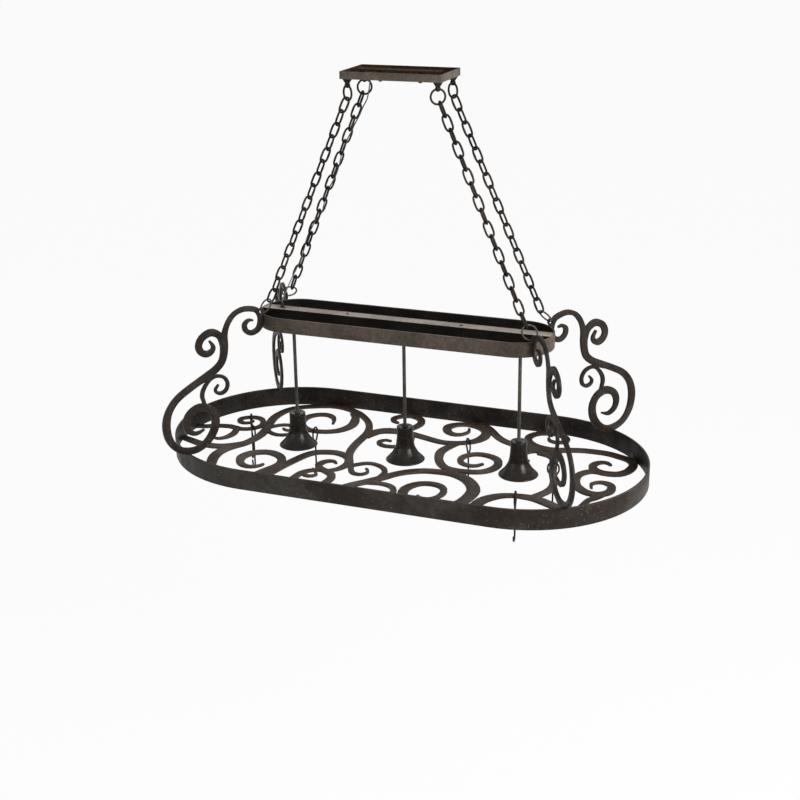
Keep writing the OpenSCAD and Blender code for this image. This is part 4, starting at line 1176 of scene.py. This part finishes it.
@dataclass
class Hooks:
    """The loose hooks: one bent wire each, over a bar of the shelf.

    Attributes:
        sides: the side that each hook's open end faces.
        wire: diameter of the wire.
        loop: inner radius of the loop.
        end: inner radius of the open end.
        height: whole height of a hook.
        neck: depth below the loop's centre at which its legs meet.
        leg: depth at which they start to close.
        tip_rise: height of the tip over the open end's centre.
        tip_lean: how far the tip leans out.
        spacing: distance between points of the path.
        blunt: share of the wire's radius over which its ends round off.
    """

    rack: Rack
    sides: tuple[int, ...] = (1, 1, -1, 1, 1, 1)
    wire: float = 4.5 * MM
    loop: float = 11.5 * MM
    end: float = 8 * MM
    height: float = 125 * MM
    neck: float = 32 * MM
    leg: float = 10 * MM
    tip_rise: float = 6 * MM
    tip_lean: float = 1 * MM
    spacing: float = 1.2 * MM
    blunt: float = 0.93

    def build(self) -> None:
        """Makes every hook."""
        for number, side in enumerate(self.sides, 1):
            self.hook(number, side)

    def outline(self, side: int) -> Array:
        """The hook's centre line in its own plane, as rows of reach and height.

        From the neck up one leg, over the loop, down the other leg to the neck, down the
        shank and round the open end.
        """
        loop = self.loop + self.wire / 2
        end = self.end + self.wire / 2
        foot = self.height - loop - self.wire - end
        over = arc((0.0, 0.0), loop, 180, 0, 30)
        sweep = (180, 360) if side > 0 else (0, -180)
        round_end = arc((side * end, -foot), end, *sweep, 24)
        neck = [0.0, -self.neck]
        tip = [side * (2 * end + self.tip_lean), self.tip_rise - foot]
        legs = [-loop, -self.leg], [loop, -self.leg]
        return np.vstack([[neck, legs[0]], over, [legs[1], neck], round_end, [tip]])

    def hook(self, number: int, side: int) -> None:
        """One hook, its plane square to the axis that it swings about."""
        node = f"hook_{number}"
        middle = self.rack.joint_at(f"{node}_swing")
        axis = self.rack.joint_axis(f"{node}_swing")
        flat = self.outline(side)
        path = middle + flat[:, :1] * np.cross(UP, axis) + flat[:, 1:] * UP
        path = rounded(path, self.spacing, 2)
        steps = np.arange(len(path))
        from_end = np.minimum(steps, steps[::-1]) * self.spacing
        taper = np.sqrt(1 - np.clip(1 - from_end / (self.wire / 2), 0, self.blunt) ** 2)
        shape = tube(path, self.wire / 2 * taper, axis)
        piece = shape.piece(f"bent_{node}", Finish.HOOK.material())
        self.rack.stand_for(piece, node)


# ---------------- the studio


@dataclass(frozen=True)
class Viewpoint:
    """The photograph's camera, from the outlines of rim, channel and canopy."""

    place: Point = (1.1538, -2.9684, 0.4063)
    azimuth: float = 21.44
    elevation: float = 20.56
    roll: float = -0.85
    focal_px: float = 1399.5
    frame_px: float = 800.0
    sensor_mm: float = 36.0

    def set_up(self) -> None:
        """Adds the camera and makes it the scene's own."""
        az, el, roll = (math.radians(v) for v in (self.azimuth, self.elevation, self.roll))
        back = Vector((math.sin(az) * math.cos(el), -math.cos(az) * math.cos(el), math.sin(el)))
        level = Vector((math.cos(az), math.sin(az), 0.0))
        upright = back.cross(level)
        right = math.cos(roll) * level + math.sin(roll) * upright
        up = math.cos(roll) * upright - math.sin(roll) * level
        data = bpy.data.cameras.new("photograph_view")
        data.sensor_width = self.sensor_mm
        data.lens = self.focal_px / self.frame_px * self.sensor_mm
        data.clip_end = 100.0
        camera = bpy.data.objects.new("photograph_view", data)
        turn = Matrix((right, up, back)).transposed().to_4x4()
        camera.matrix_world = Matrix.Translation(self.place) @ turn
        bpy.context.scene.collection.objects.link(camera)
        bpy.context.scene.camera = camera


@dataclass
class Studio:
    """A pale floor, a white surround and two soft lamps."""

    floor_z: float = -1.95
    floor_half: float = 40.0
    floor_tone: float = 0.92
    floor_white: float = 0.93
    ambient: float = 0.42
    lamps: tuple = (
        ("key", (3.4, -1.5, 0.7), 1.8, 170.0),
        ("fill", (-2.6, -3.0, 0.2), 2.2, 22.0),
    )
    aim: Point = (0.0, 0.0, -0.6)

    def set_up(self) -> None:
        """Builds the surround, the floor and the lamps."""
        bpy.context.scene.view_settings.view_transform = "Standard"
        self.surround()
        self.floor()
        for name, place, size, power in self.lamps:
            self.lamp(name, place, size, power)

    @staticmethod
    def seen(graph: Graph) -> bpy.types.NodeSocket:
        """One where a ray comes from the camera, a reflection or glass, and otherwise none."""
        path = graph.add("ShaderNodeLightPath").outputs
        straight = graph.math("MAXIMUM", path["Is Camera Ray"], path["Is Glossy Ray"])
        return graph.math("MAXIMUM", straight, path["Is Transmission Ray"])

    def surround(self) -> None:
        """A world that is white where it is seen and dimmer where it lights."""
        world = bpy.data.worlds.new("studio")
        bpy.context.scene.world = world
        world.use_nodes = True
        graph = Graph(world.node_tree)
        graph.tree.nodes.clear()
        light = graph.add("ShaderNodeBackground", {"Color": WHITE, "Strength": self.ambient})
        white = graph.add("ShaderNodeBackground", {"Color": WHITE, "Strength": 1.0})
        both = graph.add(
            "ShaderNodeMixShader", {0: self.seen(graph), 1: light.outputs[0], 2: white.outputs[0]}
        )
        graph.add("ShaderNodeOutputWorld", {"Surface": both.outputs[0]})

    def floor(self) -> None:
        """A wide pale floor that keeps a soft shadow."""
        half = self.floor_half
        points = np.array([[-half, -half], [half, -half], [half, half], [-half, half]])
        points = np.hstack([points, np.full((4, 1), self.floor_z)])
        material = bpy.data.materials.new("pale_floor")
        material.use_nodes = True
        graph = Graph(material.node_tree)
        graph.tree.nodes.clear()
        matt = graph.add("ShaderNodeBsdfDiffuse", {"Color": (*[self.floor_tone] * 3, 1.0)})
        white = graph.add("ShaderNodeEmission", {"Color": WHITE, "Strength": 1.0})
        share = graph.math("MULTIPLY", self.seen(graph), self.floor_white)
        both = graph.add(
            "ShaderNodeMixShader", {0: share, 1: matt.outputs[0], 2: white.outputs[0]}
        )
        graph.add("ShaderNodeOutputMaterial", {"Surface": both.outputs[0]})
        floor = Shape(points, [np.array([[0, 1, 2, 3]])]).piece("floor", material)

    def lamp(self, name: str, place: Point, size: float, power: float) -> None:
        """A square soft lamp aimed at the rack."""
        data = bpy.data.lights.new(name, "AREA")
        data.size = size
        data.energy = power
        lamp = bpy.data.objects.new(name, data)
        lamp.location = place
        toward = Vector(self.aim) - Vector(place)
        lamp.rotation_euler = toward.to_track_quat("-Z", "Y").to_euler()
        bpy.context.scene.collection.objects.link(lamp)


def main() -> None:
    """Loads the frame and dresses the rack."""
    logging.basicConfig(level=logging.INFO, format="%(name)s: %(message)s")
    rack = Rack(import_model())
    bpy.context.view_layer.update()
    Viewpoint().set_up()
    chains = Chains(rack)
    for part in (
        SupplyCord(rack, chains),
        chains,
        Canopy(rack),
        LightChannel(rack),
        Lamps(rack),
        Rim(rack),
        Arms(rack),
        Hooks(rack),
    ):
        part.build()
        LOG.info("built %s", type(part).__name__)
    Studio().set_up()


if __name__ == "__main__":
    main()
